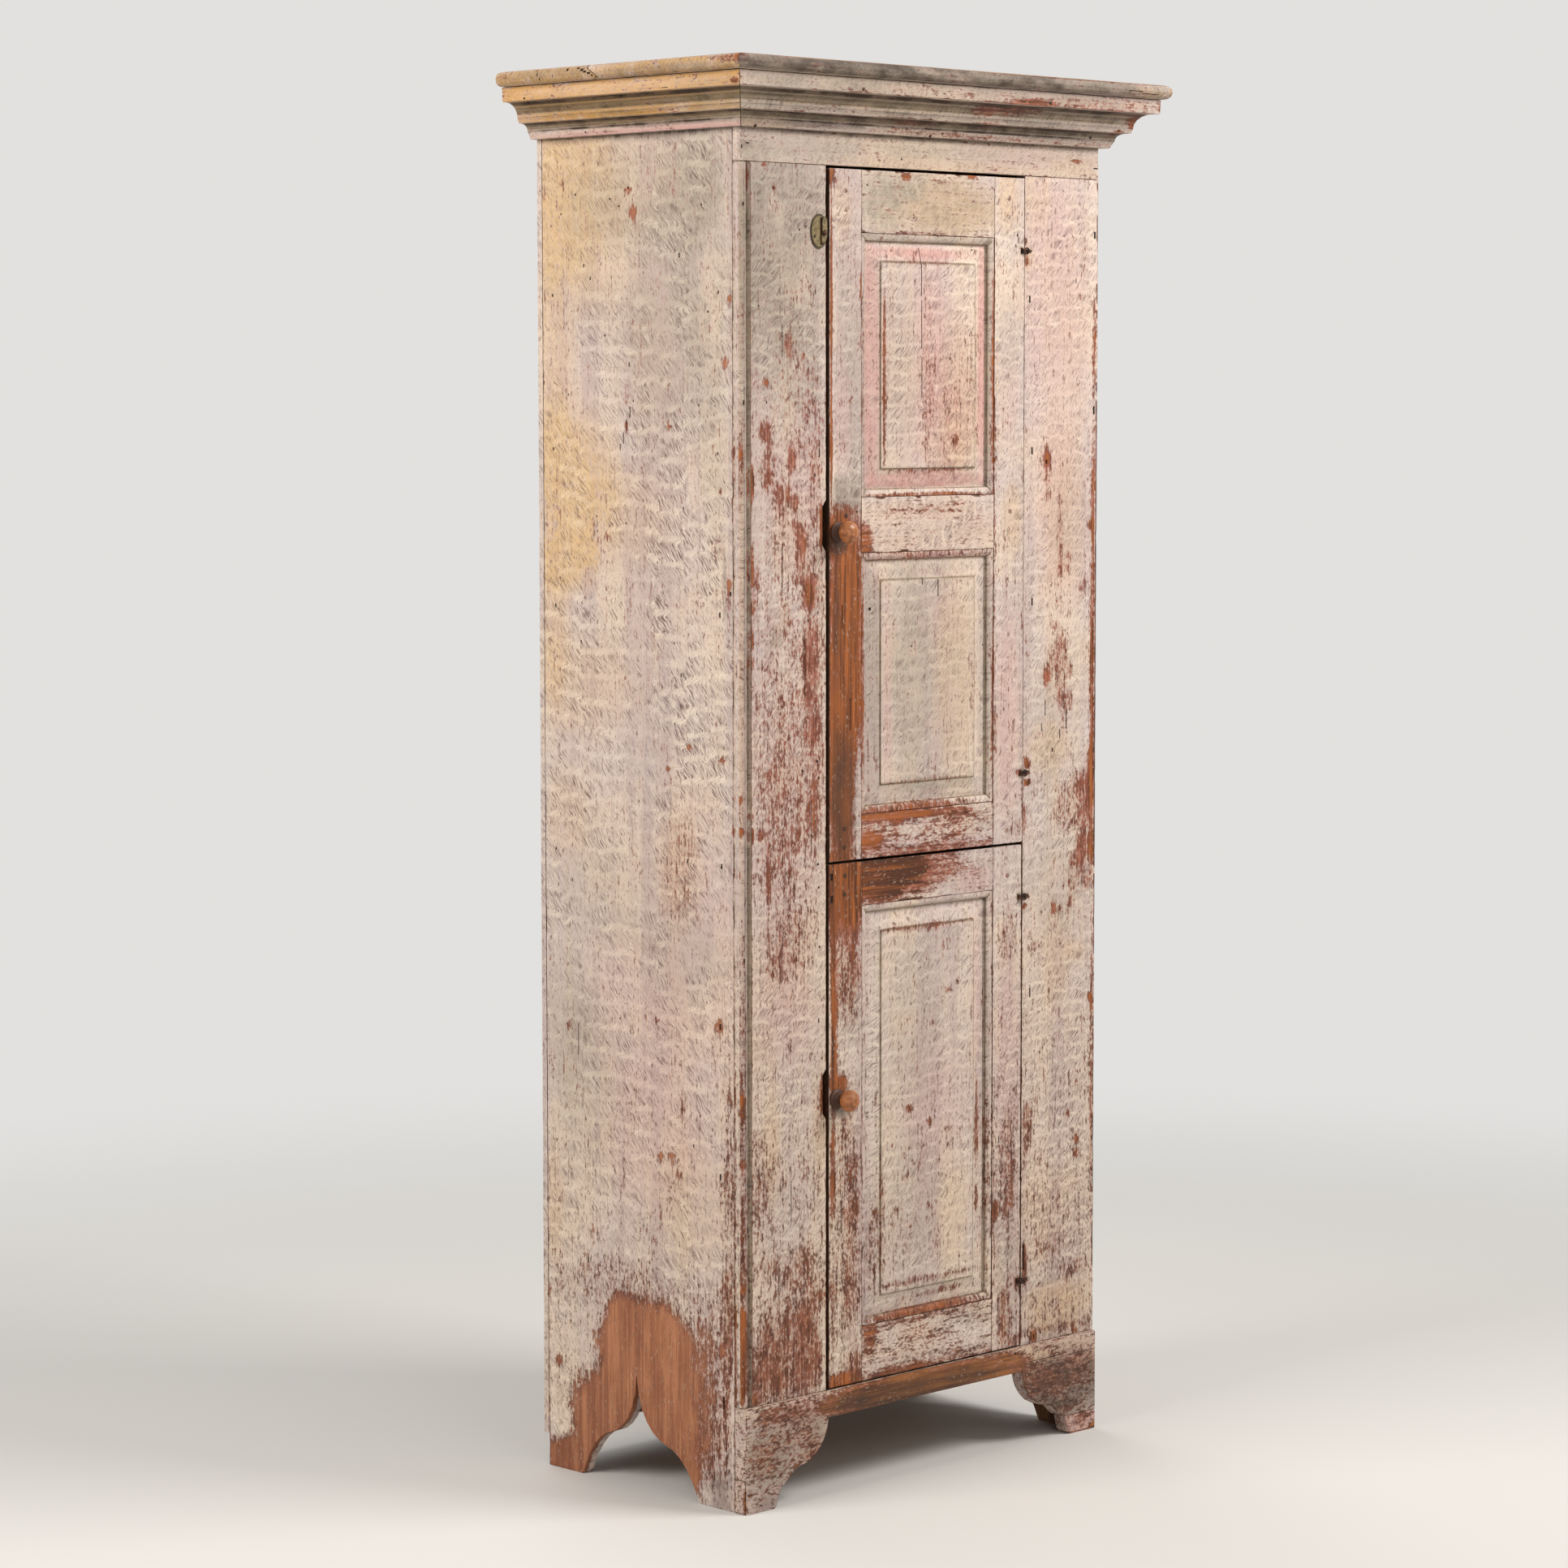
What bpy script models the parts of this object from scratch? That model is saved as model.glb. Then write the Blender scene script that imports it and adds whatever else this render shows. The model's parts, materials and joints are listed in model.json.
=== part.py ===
"""Tall painted pine cupboard with two panelled doors hung on iron snipe hinges.

Metres, Z up, front towards -Y.  The origin is the bottom centre of the bounding box.
The doors are modelled shut, with their wooden latches turned upright, which frees them.
"""
import bpy
import bmesh
from math import asin, cos, pi, sin, tau
from mathutils import Matrix, Vector

# Carcase.
case_width = 0.700
case_depth = 0.397
case_height = 1.892
side_thickness = 0.020
front_thickness = 0.0165
back_thickness = 0.010
back_board_count = 3
back_board_gap = 0.0012
back_board_lift = 0.0445
stile_left_width = 0.156
stile_right_width = 0.1535
frieze_show = 0.0435

# Clearances.
fit = 0.0003
hole_ease = 0.0003
overrun = 0.004

# Bead on the outer corner of the left stile.
bead_radius = 0.006
quirk_width = 0.0045
quirk_depth = 0.0035
bead_steps = 6
bead_wrap = 0.72 * pi

# Base board with two bracket feet.
base_thickness = 0.0225
base_height = 0.1425
bracket_reach = 0.1555
bracket_height = 0.1065
upper_lobe_shares = ((1.0, 1.0), (0.985, 0.72), (0.84, 0.48), (0.64, 0.46))
lower_lobe_shares = ((0.64, 0.46), (0.55, 0.44), (0.53, 0.30), (0.42, 0.255))
toe_shares = ((0.395, 0.14), (0.37, 0.03), (0.34, 0.0))
lobe_steps = 6
patch_height = 0.045
patch_depth = 0.006
patch_lip = 0.0025
patch_proud = 0.0008
corner_block_size = 0.025
corner_block_height = 0.092
corner_block_lift = 0.006

# Ogee arch that leaves two feet on each side board.
side_foot_length = 0.0695
arch_height = 0.152
arch_cusp_share = 0.527
haunch_shares = ((1.0, 0.0), (0.91, 0.19), (0.72, 0.41), (0.47, 0.445))
cusp_shares = ((0.47, 0.445), (0.25, 0.49), (0.03, 0.66), (0.0, 1.0))
arch_steps = 6

# Boards inside.
bottom_board_thickness = 0.018
bottom_board_drop = 0.002
shelf_thickness = 0.018
upper_shelf_shares = (0.335, 0.665)
lower_shelf_share = 0.47
dado_depth = 0.006

# Cornice profile, bottom to top: how far each member stands out, and its height.
band_foot_reach = 0.011
band_reach = 0.0165
band_height = 0.0105
small_cove_height = 0.0100
small_cove_reach = 0.0285
fillet_foot_reach = 0.0322
fillet_reach = 0.0345
fillet_height = 0.0065
big_cove_height = 0.0205
big_cove_reach = 0.0550
fascia_foot_reach = 0.0610
fascia_reach = 0.0620
fascia_height = 0.0200
cove_steps = 5
nose_reach = 0.0735
top_board_thickness = 0.020
nose_radius_share = 0.45
nose_steps = 3
top_joint_share = 0.595
top_joint_slope = 0.022
top_joint_steps = 6
mitre_gap = 0.00022

# Doors.
lower_door_height = 0.7105
door_foot_gap = 0.002
door_split_gap = 0.0035
door_head_gap = 0.0035
door_left_gap = 0.0038
door_right_gap = 0.0035
door_thickness = 0.022
upper_door_proud = 0.003
lower_door_proud = 0.0015
upper_stile_width = 0.0610
lower_stile_left_width = 0.0640
lower_stile_right_width = 0.0590
upper_rail_heights = (0.0605, 0.0743, 0.0830)
lower_rail_heights = (0.0755, 0.0595)
tenon_length = 0.037
tenon_thickness = 0.007
tenon_shoulder = 0.007

# Panels and the moulding planted round them.
panel_ground = 0.008
panel_tongue = 0.006
panel_bite = 0.008
field_drop = 0.0008
field_step = 0.0012
bevel_width = 0.025
moulding_width = 0.0125
moulding_height = 0.0072
moulding_fillet = 0.0022
moulding_steps = 4

# Snipe hinges: two bent wire loops, one through the other.
wire_radius = 0.0014
loop_radius = 0.0038
loop_steps = 16
leg_spread = 0.0032
leg_splay = 0.008
leg_neck = 0.0016
leg_ease = 0.0006
hinge_axis_reach = 0.0058
hinge_axis_inset = 0.0018
door_leg_run_share = 0.5
case_leg_run_share = 1.0
upper_hinge_insets = (0.0965, 0.0995)
lower_hinge_insets = (0.0925, 0.0735)

# Knobs and the wooden latches on their shafts.
knob_setback = 0.0145
upper_knob_share = 0.479
lower_knob_share = 0.5538
knob_flange_radius = 0.0138
knob_flange_height = 0.0045
flange_front_share = 0.8
flange_back_share = 0.92
knob_neck_radius = 0.0075
knob_head_radius = 0.0150
knob_head_depth = 0.0235
upper_knob_reach = 0.0330
lower_knob_reach = 0.0365
knob_shaft_radius = 0.0065
knob_sides = 20
knob_head_steps = 7
latch_length = 0.040
latch_tail = 0.013
latch_width = 0.020
latch_thickness = 0.012
latch_tip_share = 0.5
latch_clearance = 0.0006
shaft_join = 0.00015
shaft_tail = 0.004
shaft_flat_share = 0.78

# Notches worn in the left stile beside the latches.
notch_length = 0.069
notch_depth = 0.0065
notch_chamfer = 0.009
notch_rise = 0.0085

# Keyhole plate with its swinging cover.
plate_half_width = 0.0155
plate_half_height = 0.0225
plate_thickness = 0.0012
plate_sides = 28
plate_inset = 0.0135
plate_drop = 0.0868
slot_width = 0.0035
slot_height = 0.036
slot_offset = 0.0028
cover_arm = 0.0155
cover_tip_radius = 0.0050
cover_eye_radius = 0.0045
cover_thickness = 0.0012
cover_steps = 8
rivet_radius = 0.0015
rivet_head_radius = 0.0035
rivet_head_height = 0.0022
rivet_crown_share = 0.4
rivet_shoulder_share = 0.8
rivet_shoulder_height_share = 0.7
rivet_length = 0.010
rivet_offset = 0.0085
rivet_drop = 0.0012
pin_radius = 0.0009
pin_head_radius = 0.0017
pin_head_height = 0.0007
pin_crown_share = 0.6
pin_length = 0.009
pin_sides = 8
left_pin_shares = (-0.56, -0.30)
right_pin_shares = (0.42, -0.72)

# Heights worked out from the sizes above.
cornice_height = (band_height + small_cove_height + fillet_height
                  + big_cove_height + fascia_height)
cornice_bottom = case_height - cornice_height
frieze_bottom = cornice_bottom - frieze_show
lower_door_bottom = base_height + door_foot_gap
lower_door_top = lower_door_bottom + lower_door_height
upper_door_bottom = lower_door_top + door_split_gap
upper_door_top = frieze_bottom - door_head_gap
split_height = (lower_door_top + upper_door_bottom) / 2

# Planes worked out from the sizes above.
left_x = -case_width / 2
right_x = case_width / 2
face_y = (nose_reach - case_depth) / 2
seam_y = face_y + front_thickness
back_y = face_y + case_depth
back_seam_y = back_y - back_thickness
inner_left_x = left_x + side_thickness
inner_right_x = right_x - side_thickness
base_face_y = seam_y - base_thickness
opening_left_x = left_x + stile_left_width
opening_right_x = right_x - stile_right_width
door_left_x = opening_left_x + door_left_gap
door_right_x = opening_right_x - door_right_gap
stop_y = face_y + door_thickness - min(upper_door_proud, lower_door_proud) + fit
hinge_x = opening_right_x + hinge_axis_inset
hinge_y = face_y - hinge_axis_reach
knob_x = door_left_x + knob_setback
upper_knob_z = upper_door_bottom + upper_knob_share * (upper_door_top - upper_door_bottom)
lower_knob_z = lower_door_bottom + lower_knob_share * lower_door_height
plate_x = opening_left_x - plate_inset
plate_z = frieze_bottom - plate_drop
rivet_x = plate_x + rivet_offset
rivet_z = plate_z - rivet_drop


def finish(name, colour, roughness, metallic=0.0):
    """Make one plain Principled material."""
    made = bpy.data.materials.new(name)
    made.use_nodes = True
    shader = made.node_tree.nodes["Principled BSDF"]
    shader.inputs["Base Color"].default_value = (*colour, 1.0)
    shader.inputs["Roughness"].default_value = roughness
    shader.inputs["Metallic"].default_value = metallic
    made.diffuse_color = (*colour, 1.0)
    return made


def world_place(holder):
    """Where an empty stands, adding up its parents' places."""
    place = Vector((0, 0, 0))
    while holder:
        place = place + holder.location
        holder = holder.parent
    return place


def add_holder(name, place, parent=None):
    """An empty that carries the pieces of one moving group."""
    holder = bpy.data.objects.new(name, None)
    holder.parent = parent
    holder.location = Vector(place) - world_place(parent)
    bpy.context.collection.objects.link(holder)
    return holder


def add_piece(name, shape, look, parent, origin=None, smooth_angle=None):
    """Turn a bmesh in world coordinates into a named object under its parent."""
    origin = world_place(parent) if origin is None else Vector(origin)
    shape.transform(Matrix.Translation(-origin))
    bmesh.ops.recalc_face_normals(shape, faces=shape.faces)
    mesh = bpy.data.meshes.new(name)
    shape.to_mesh(mesh)
    shape.free()
    mesh.materials.append(look)
    if smooth_angle:
        mesh.shade_smooth()
        mesh.set_sharp_from_angle(angle=smooth_angle)
    piece = bpy.data.objects.new(name, mesh)
    piece.parent = parent
    piece.location = origin - world_place(parent)
    bpy.context.collection.objects.link(piece)
    return piece


def add_cutter(name, shape):
    """A hidden shape that only serves to cut holes."""
    bmesh.ops.recalc_face_normals(shape, faces=shape.faces)
    mesh = bpy.data.meshes.new(name)
    shape.to_mesh(mesh)
    shape.free()
    cutter = bpy.data.objects.new(name, mesh)
    cutter.hide_render = True
    cutter.display_type = "WIRE"
    bpy.context.collection.objects.link(cutter)
    return cutter


def cut(piece, *cutters):
    """Take each cutter away from the piece."""
    for cutter in cutters:
        step = piece.modifiers.new(cutter.name, "BOOLEAN")
        step.operation = "DIFFERENCE"
        step.solver = "EXACT"
        step.object = cutter


def block(low, high):
    """A box between two corners."""
    shape = bmesh.new()
    low, high = Vector(low), Vector(high)
    size = Matrix.Diagonal((*(high - low), 1.0))
    bmesh.ops.create_cube(shape, size=1.0, matrix=Matrix.Translation((low + high) / 2) @ size)
    return shape


def slab(outline, axis, start, end):
    """An outline drawn square to an axis and extruded along it."""
    shape = bmesh.new()
    place = {
        "X": lambda a, b, c: (c, a, b),
        "Y": lambda a, b, c: (a, c, b),
        "Z": lambda a, b, c: (a, b, c),
    }[axis]
    corners = [shape.verts.new(place(a, b, start)) for a, b in outline]
    face = shape.faces.new(corners)
    made = bmesh.ops.extrude_face_region(shape, geom=[face])["geom"]
    moved = [item for item in made if isinstance(item, bmesh.types.BMVert)]
    bmesh.ops.translate(shape, verts=moved, vec=Vector(place(0, 0, end - start)))
    return shape


def loft(rings, shape=None, closed=False):
    """A solid through rings of equally many points, capped or closed on itself."""
    shape = bmesh.new() if shape is None else shape
    loops = [[shape.verts.new(point) for point in ring] for ring in rings]
    count = len(loops[0])
    followers = loops[1:] + loops[:1] if closed else loops[1:]
    for near, far in zip(loops, followers):
        for k in range(count):
            after = (k + 1) % count
            shape.faces.new((near[k], near[after], far[after], far[k]))
    if not closed:
        shape.faces.new(loops[0])
        shape.faces.new(loops[-1])
    return shape


def turned(profile, centre, sides, shape=None):
    """A profile of (radius, y) pairs turned about an axis along Y."""
    rings = []
    for radius, y in profile:
        turn = [tau * k / sides for k in range(sides)]
        rings.append([(centre[0] + radius * cos(a), y, centre[1] + radius * sin(a)) for a in turn])
    return loft(rings, shape)


def bezier(points, steps):
    """Points on a cubic curve through its four control points, ends included."""
    a, b, c, d = (Vector(point) for point in points)
    curve = []
    for k in range(steps + 1):
        t = k / steps
        s = 1 - t
        curve.append(a * s**3 + b * 3 * s * s * t + c * 3 * s * t * t + d * t**3)
    return curve


def rectangle_ring(low_x, high_x, low_z, high_z, y):
    """Four corners of a rectangle that faces the front."""
    return [(low_x, y, low_z), (high_x, y, low_z), (high_x, y, high_z), (low_x, y, high_z)]


def bead_outline():
    """Plan of the left stile: a bead on its outer corner, then a quirk."""
    outline = [(opening_left_x, seam_y), (left_x, seam_y)]
    for k in range(bead_steps + 1):
        angle = pi + bead_wrap * k / bead_steps
        outline.append((left_x + bead_radius * (1 + cos(angle)),
                        face_y + bead_radius * (1 + sin(angle))))
    quirk_x = left_x + 2 * bead_radius
    outline.append((quirk_x, face_y + quirk_depth))
    outline.append((quirk_x + quirk_width, face_y))
    outline.append((opening_left_x, face_y))
    return outline


def side_outline():
    """Side board seen from the side: two feet with an ogee arch between them."""
    front, back = seam_y + fit, back_seam_y - fit
    arch_front, arch_back = front + side_foot_length, back - side_foot_length
    cusp = arch_front + arch_cusp_share * (arch_back - arch_front)
    half = bezier(haunch_shares, arch_steps) + bezier(cusp_shares, arch_steps)[1:]
    rise = [(cusp + u * (arch_front - cusp), v * arch_height) for u, v in half]
    fall = [(cusp + u * (arch_back - cusp), v * arch_height) for u, v in reversed(half[:-1])]
    top = case_height - fit
    return [(front, 0), *rise, *fall, (back, 0), (back, top), (front, top)]


def bracket_outline(edge_x, inward):
    """From the rail's underside down a bracket to the top of its toe."""
    lobes = bezier(upper_lobe_shares, lobe_steps) + bezier(lower_lobe_shares, lobe_steps)[1:]
    return [(edge_x + inward * u * bracket_reach, v * bracket_height) for u, v in lobes]


def toe_outline(edge_x, inward):
    """The lowest part of a bracket, down to the floor."""
    return [(edge_x + inward * u * bracket_reach, v * bracket_height) for u, v in toe_shares]


def cornice_profile():
    """Reach and height of the moulding, from its foot up to the top board."""
    z = cornice_bottom
    profile = [(fit, z), (band_foot_reach, z)]
    z = z + band_height
    profile.append((band_reach, z))
    for k in range(cove_steps + 1):
        angle = pi / 2 * k / cove_steps
        profile.append((small_cove_reach - (small_cove_reach - band_reach) * cos(angle),
                        z + fit + (small_cove_height - fit) * sin(angle)))
    z = z + small_cove_height
    profile.append((fillet_foot_reach, z))
    z = z + fillet_height
    profile.append((fillet_reach, z))
    for k in range(cove_steps + 1):
        angle = pi / 2 * k / cove_steps
        profile.append((big_cove_reach - (big_cove_reach - fillet_reach) * cos(angle),
                        z + fit + (big_cove_height - fit) * sin(angle)))
    z = z + big_cove_height
    profile.append((fascia_foot_reach, z))
    profile.append((fascia_reach, case_height - fit))
    profile.append((fit, case_height - fit))
    return profile


def build_cornice(look, parent):
    """A front length and two returns, mitred at the front corners."""
    profile = cornice_profile()
    front = [[(side * (right_x + reach - mitre_gap), face_y - reach, z) for reach, z in profile]
             for side in (-1, 1)]
    add_piece("cornice_front", loft(front), look, parent)
    for name, side in (("cornice_left", -1), ("cornice_right", 1)):
        near = [(side * (right_x + reach), face_y - reach + mitre_gap, z) for reach, z in profile]
        far = [(side * (right_x + reach), back_y, z) for reach, z in profile]
        add_piece(name, loft([near, far]), look, parent)


def build_top_boards(look, parent):
    """Two boards side by side with a bullnose on three edges and a worn, sloping joint."""
    low = Vector((left_x - nose_reach, face_y - nose_reach, case_height))
    high = Vector((right_x + nose_reach, back_y, case_height + top_board_thickness))
    joint_y = low.y + top_joint_share * (high.y - low.y)
    slope = []
    for k in range(top_joint_steps + 1):
        t = k / top_joint_steps
        slope.append((joint_y + top_joint_slope * (t * t * (3 - 2 * t) - 1 / 2),
                      low.z + t * top_board_thickness))
    for name, front_part in (("top_board_front", True), ("top_board_back", False)):
        shape = block(low, high)
        nosed = [edge for edge in shape.edges
                 if abs(edge.verts[0].co.z - edge.verts[1].co.z) < fit
                 and min(edge.verts[0].co.y, edge.verts[1].co.y) < high.y - fit]
        bmesh.ops.bevel(shape, geom=nosed, offset=top_board_thickness * nose_radius_share,
                        affect="EDGES", segments=nose_steps, profile=0.5)
        board = add_piece(name, shape, look, parent, smooth_angle=pi / 5)
        ease = fit / 2 if front_part else -fit / 2
        outer = high.y + overrun if front_part else low.y - overrun
        kept_from = [(y - ease, z) for y, z in slope]
        first, last = kept_from[0], kept_from[-1]
        outline = [(first[0], first[1] - overrun), *kept_from, (last[0], last[1] + overrun),
                   (outer, last[1] + overrun), (outer, first[1] - overrun)]
        cutter = add_cutter("joint_" + name,
                            slab(outline, "X", low.x - overrun, high.x + overrun))
        cut(board, cutter)


def build_carcase(looks, parent):
    """Sides, back boards, front boards and base of the case."""
    paint, pine = looks["paint"], looks["pine"]
    side_left = add_piece("side_left", slab(side_outline(), "X", left_x, inner_left_x),
                          paint, parent)
    side_right = add_piece("side_right", slab(side_outline(), "X", inner_right_x, right_x),
                           paint, parent)

    back_width = (case_width - (back_board_count - 1) * back_board_gap) / back_board_count
    back_boards = []
    for k, name in enumerate(("back_board_left", "back_board_middle", "back_board_right")):
        start = left_x + k * (back_width + back_board_gap)
        shape = block((start, back_seam_y, back_board_lift),
                      (start + back_width, back_y, case_height - fit))
        back_boards.append(add_piece(name, shape, pine, parent))

    frieze = add_piece("frieze_board",
                       block((left_x, face_y, frieze_bottom), (right_x, seam_y, case_height - fit)),
                       paint, parent)
    stile_foot, stile_head = base_height + fit, frieze_bottom - fit
    stile_left = add_piece("case_stile_left",
                           slab(bead_outline(), "Z", stile_foot, stile_head), paint, parent)
    stile_right = add_piece("case_stile_right",
                            block((opening_right_x, face_y, stile_foot),
                                  (right_x, seam_y, stile_head)), paint, parent)

    left_bracket = bracket_outline(left_x, 1)
    right_bracket = bracket_outline(right_x, -1)
    left_toe = toe_outline(left_x, 1)
    right_toe = toe_outline(right_x, -1)
    cut_z = right_bracket[-1][1]
    outline = [(left_x, 0), *reversed(left_toe), *reversed(left_bracket), *right_bracket,
               (right_x, cut_z), (right_x, base_height), (left_x, base_height)]
    base = add_piece("base_board", slab(outline, "Y", base_face_y, seam_y), paint, parent)
    block_top = cut_z - fit
    block_outline = [(right_bracket[-1][0], block_top), *right_toe, (right_x, 0),
                     (right_x, block_top)]
    add_piece("foot_block_right", slab(block_outline, "Y", base_face_y, seam_y), paint, parent)
    patch_low = (left_x - patch_proud, base_face_y + patch_lip, 0)
    patch_high = (left_x + patch_depth, seam_y, patch_height)
    add_piece("foot_patch_left", block(patch_low, patch_high), paint, parent)
    patch_room = add_cutter("room_foot_patch",
                            block((left_x - overrun, base_face_y + patch_lip - fit, -overrun),
                                  (left_x + patch_depth + fit, seam_y + overrun,
                                   patch_height + fit)))
    cut(base, patch_room)

    for name, x in (("corner_block_left", inner_left_x + fit),
                    ("corner_block_right", inner_right_x - fit - corner_block_size)):
        low = Vector((x, seam_y + fit, corner_block_lift))
        size = Vector((corner_block_size, corner_block_size, corner_block_height))
        add_piece(name, block(low, low + size), pine, parent)
    return stile_left, stile_right, (side_left, side_right)


def build_shelves(look, parent, sides):
    """Bottom board, divider behind the split between the doors, and three shelves."""
    back = back_seam_y - fit
    bottom_top = base_height - bottom_board_drop
    divider_top = split_height + shelf_thickness / 2
    upper_room = case_height - divider_top
    lower_room = divider_top - shelf_thickness - bottom_top
    boards = (
        ("bottom_board", bottom_top, bottom_board_thickness, seam_y + fit),
        ("middle_board", divider_top, shelf_thickness, stop_y),
        ("shelf_upper_low", divider_top + upper_shelf_shares[0] * upper_room,
         shelf_thickness, stop_y),
        ("shelf_upper_high", divider_top + upper_shelf_shares[1] * upper_room,
         shelf_thickness, stop_y),
        ("shelf_lower", bottom_top + lower_shelf_share * lower_room, shelf_thickness, stop_y),
    )
    for name, top, thickness, front in boards:
        add_piece(name, block((inner_left_x - dado_depth + fit, front, top - thickness),
                              (inner_right_x + dado_depth - fit, back, top)), look, parent)
        dado = add_cutter("dado_" + name,
                          block((inner_left_x - dado_depth, front - fit, top - thickness - fit),
                                (inner_right_x + dado_depth, back_seam_y + overrun, top + fit)))
        for board in sides:
            cut(board, dado)


def rail(name, low_x, high_x, low_z, high_z, door_face, look, parent):
    """A door rail with a stub tenon at each end."""
    back = door_face + door_thickness
    tenon_front = door_face + panel_ground
    tenon_back = tenon_front + tenon_thickness
    low_tenon, high_tenon = low_z + tenon_shoulder, high_z - tenon_shoulder
    body = [(door_face, low_z), (back, low_z), (back, high_z), (door_face, high_z)]
    tenon = [(tenon_front, low_tenon), (tenon_back, low_tenon), (tenon_back, high_tenon),
             (tenon_front, high_tenon)]
    stations = ((low_x - tenon_length, tenon), (low_x, tenon), (low_x, body),
                (high_x, body), (high_x, tenon), (high_x + tenon_length, tenon))
    rings = [[(x, y, z) for y, z in section] for x, section in stations]
    return add_piece(name, loft(rings), look, parent)


def mortise(name, shoulder_x, outward, low_z, high_z, door_face):
    """Room for one tenon in a stile."""
    far = shoulder_x + outward * (tenon_length + fit)
    near = shoulder_x - outward * overrun
    return add_cutter(name, block(
        (min(near, far), door_face + panel_ground - fit, low_z + tenon_shoulder - fit),
        (max(near, far), door_face + panel_ground + tenon_thickness + fit,
         high_z - tenon_shoulder + fit)))


def raised_panel(name, low_x, high_x, low_z, high_z, door_face, look, parent):
    """A panel whose bevelled margin rises from its tongue to a flat field."""
    back = door_face + panel_ground + panel_tongue
    ground = door_face + panel_ground
    field = door_face + field_drop
    inset = moulding_width + bevel_width
    rings = [
        rectangle_ring(low_x - panel_bite, high_x + panel_bite, low_z - panel_bite,
                       high_z + panel_bite, back),
        rectangle_ring(low_x - panel_bite, high_x + panel_bite, low_z - panel_bite,
                       high_z + panel_bite, ground),
        rectangle_ring(low_x + moulding_width, high_x - moulding_width, low_z + moulding_width,
                       high_z - moulding_width, ground),
        rectangle_ring(low_x + inset, high_x - inset, low_z + inset, high_z - inset,
                       field + field_step),
        rectangle_ring(low_x + inset, high_x - inset, low_z + inset, high_z - inset, field),
    ]
    add_piece(name, loft(rings), look, parent)
    reach = panel_bite + 2 * fit
    return add_cutter("groove_" + name, block(
        (low_x - reach, ground - fit, low_z - reach),
        (high_x + reach, back + fit, high_z + reach)))


def moulding_profile():
    """Inward distance from the frame and height above the panel's ground."""
    profile = [(fit, fit), (fit, moulding_height), (moulding_fillet, moulding_height)]
    drop = moulding_height - moulding_fillet
    run = moulding_width - 2 * moulding_fillet
    for k in range(1, moulding_steps + 1):
        angle = pi / 2 * k / moulding_steps
        profile.append((moulding_fillet + run * sin(angle),
                        moulding_height - drop * (1 - cos(angle))))
    profile.append((moulding_width - fit, fit))
    return profile


def panel_moulding(name, low_x, high_x, low_z, high_z, door_face, look, parent):
    """A moulding planted round a panel, its four lengths glued at their mitres."""
    ground = door_face + panel_ground
    corners = ((low_x, low_z, 1, 1), (high_x, low_z, -1, 1),
               (high_x, high_z, -1, -1), (low_x, high_z, 1, -1))
    rings = [[(x + across * a, ground - h, z + up * a) for a, h in moulding_profile()]
             for x, z, across, up in corners]
    add_piece(name, loft(rings, closed=True), look, parent)


def loop_path(centre, toward, normal, leg, behind_y):
    """Points of one bent wire: leg, ring and leg back again.

    toward points from the ring to its neck, normal is square to the ring's plane,
    leg is the way the legs run, and behind_y is where they splay flat on the wood.
    """
    toward, leg = toward.normalized(), leg.normalized()
    across = normal.cross(toward).normalized()
    opening = asin(leg_spread / 2 / loop_radius)
    ring = []
    for k in range(loop_steps + 1):
        angle = opening + (tau - 2 * opening) * k / loop_steps
        ring.append(centre + loop_radius * (toward * cos(angle) + across * sin(angle)))
    neck = centre + toward * (loop_radius + leg_neck)
    ends = []
    for side, splay in ((1, 1), (-1, -1)):
        start = neck + across * side * leg_spread / 2
        bend = start + leg * (behind_y - start.y) / leg.y
        ends.append((start, bend, bend + Vector((0, 0, splay * leg_splay))))
    first, second = ends
    return [first[2], first[1], first[0], *ring, second[0], second[1], second[2]]


def wire_loop(name, points, look, parent):
    """A bent iron wire as a swept curve with filled ends."""
    curve = bpy.data.curves.new(name, "CURVE")
    curve.dimensions = "3D"
    curve.bevel_depth = wire_radius
    curve.bevel_resolution = 1
    curve.use_fill_caps = True
    spline = curve.splines.new("POLY")
    spline.points.add(len(points) - 1)
    origin = world_place(parent)
    for slot, point in zip(spline.points, points):
        slot.co = (*(point - origin), 1.0)
    curve.materials.append(look)
    piece = bpy.data.objects.new(name, curve)
    piece.parent = parent
    bpy.context.collection.objects.link(piece)
    return piece


def leg_room(name, start, leg, behind_y, stack):
    """A straight hole with room for both legs, which lie side by side along stack."""
    leg, stack = leg.normalized(), stack.normalized()
    flat = leg.cross(stack).normalized()
    half_flat = wire_radius + leg_ease
    half_stack = leg_spread / 2 + wire_radius + leg_ease
    rings = []
    through = (behind_y - start.y) / leg.y
    for end in (start - leg * overrun, start + leg * (through + overrun)):
        rings.append([end + flat * a * half_flat + stack * b * half_stack
                      for a, b in ((-1, -1), (1, -1), (1, 1), (-1, 1))])
    return add_cutter(name, loft(rings))


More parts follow.
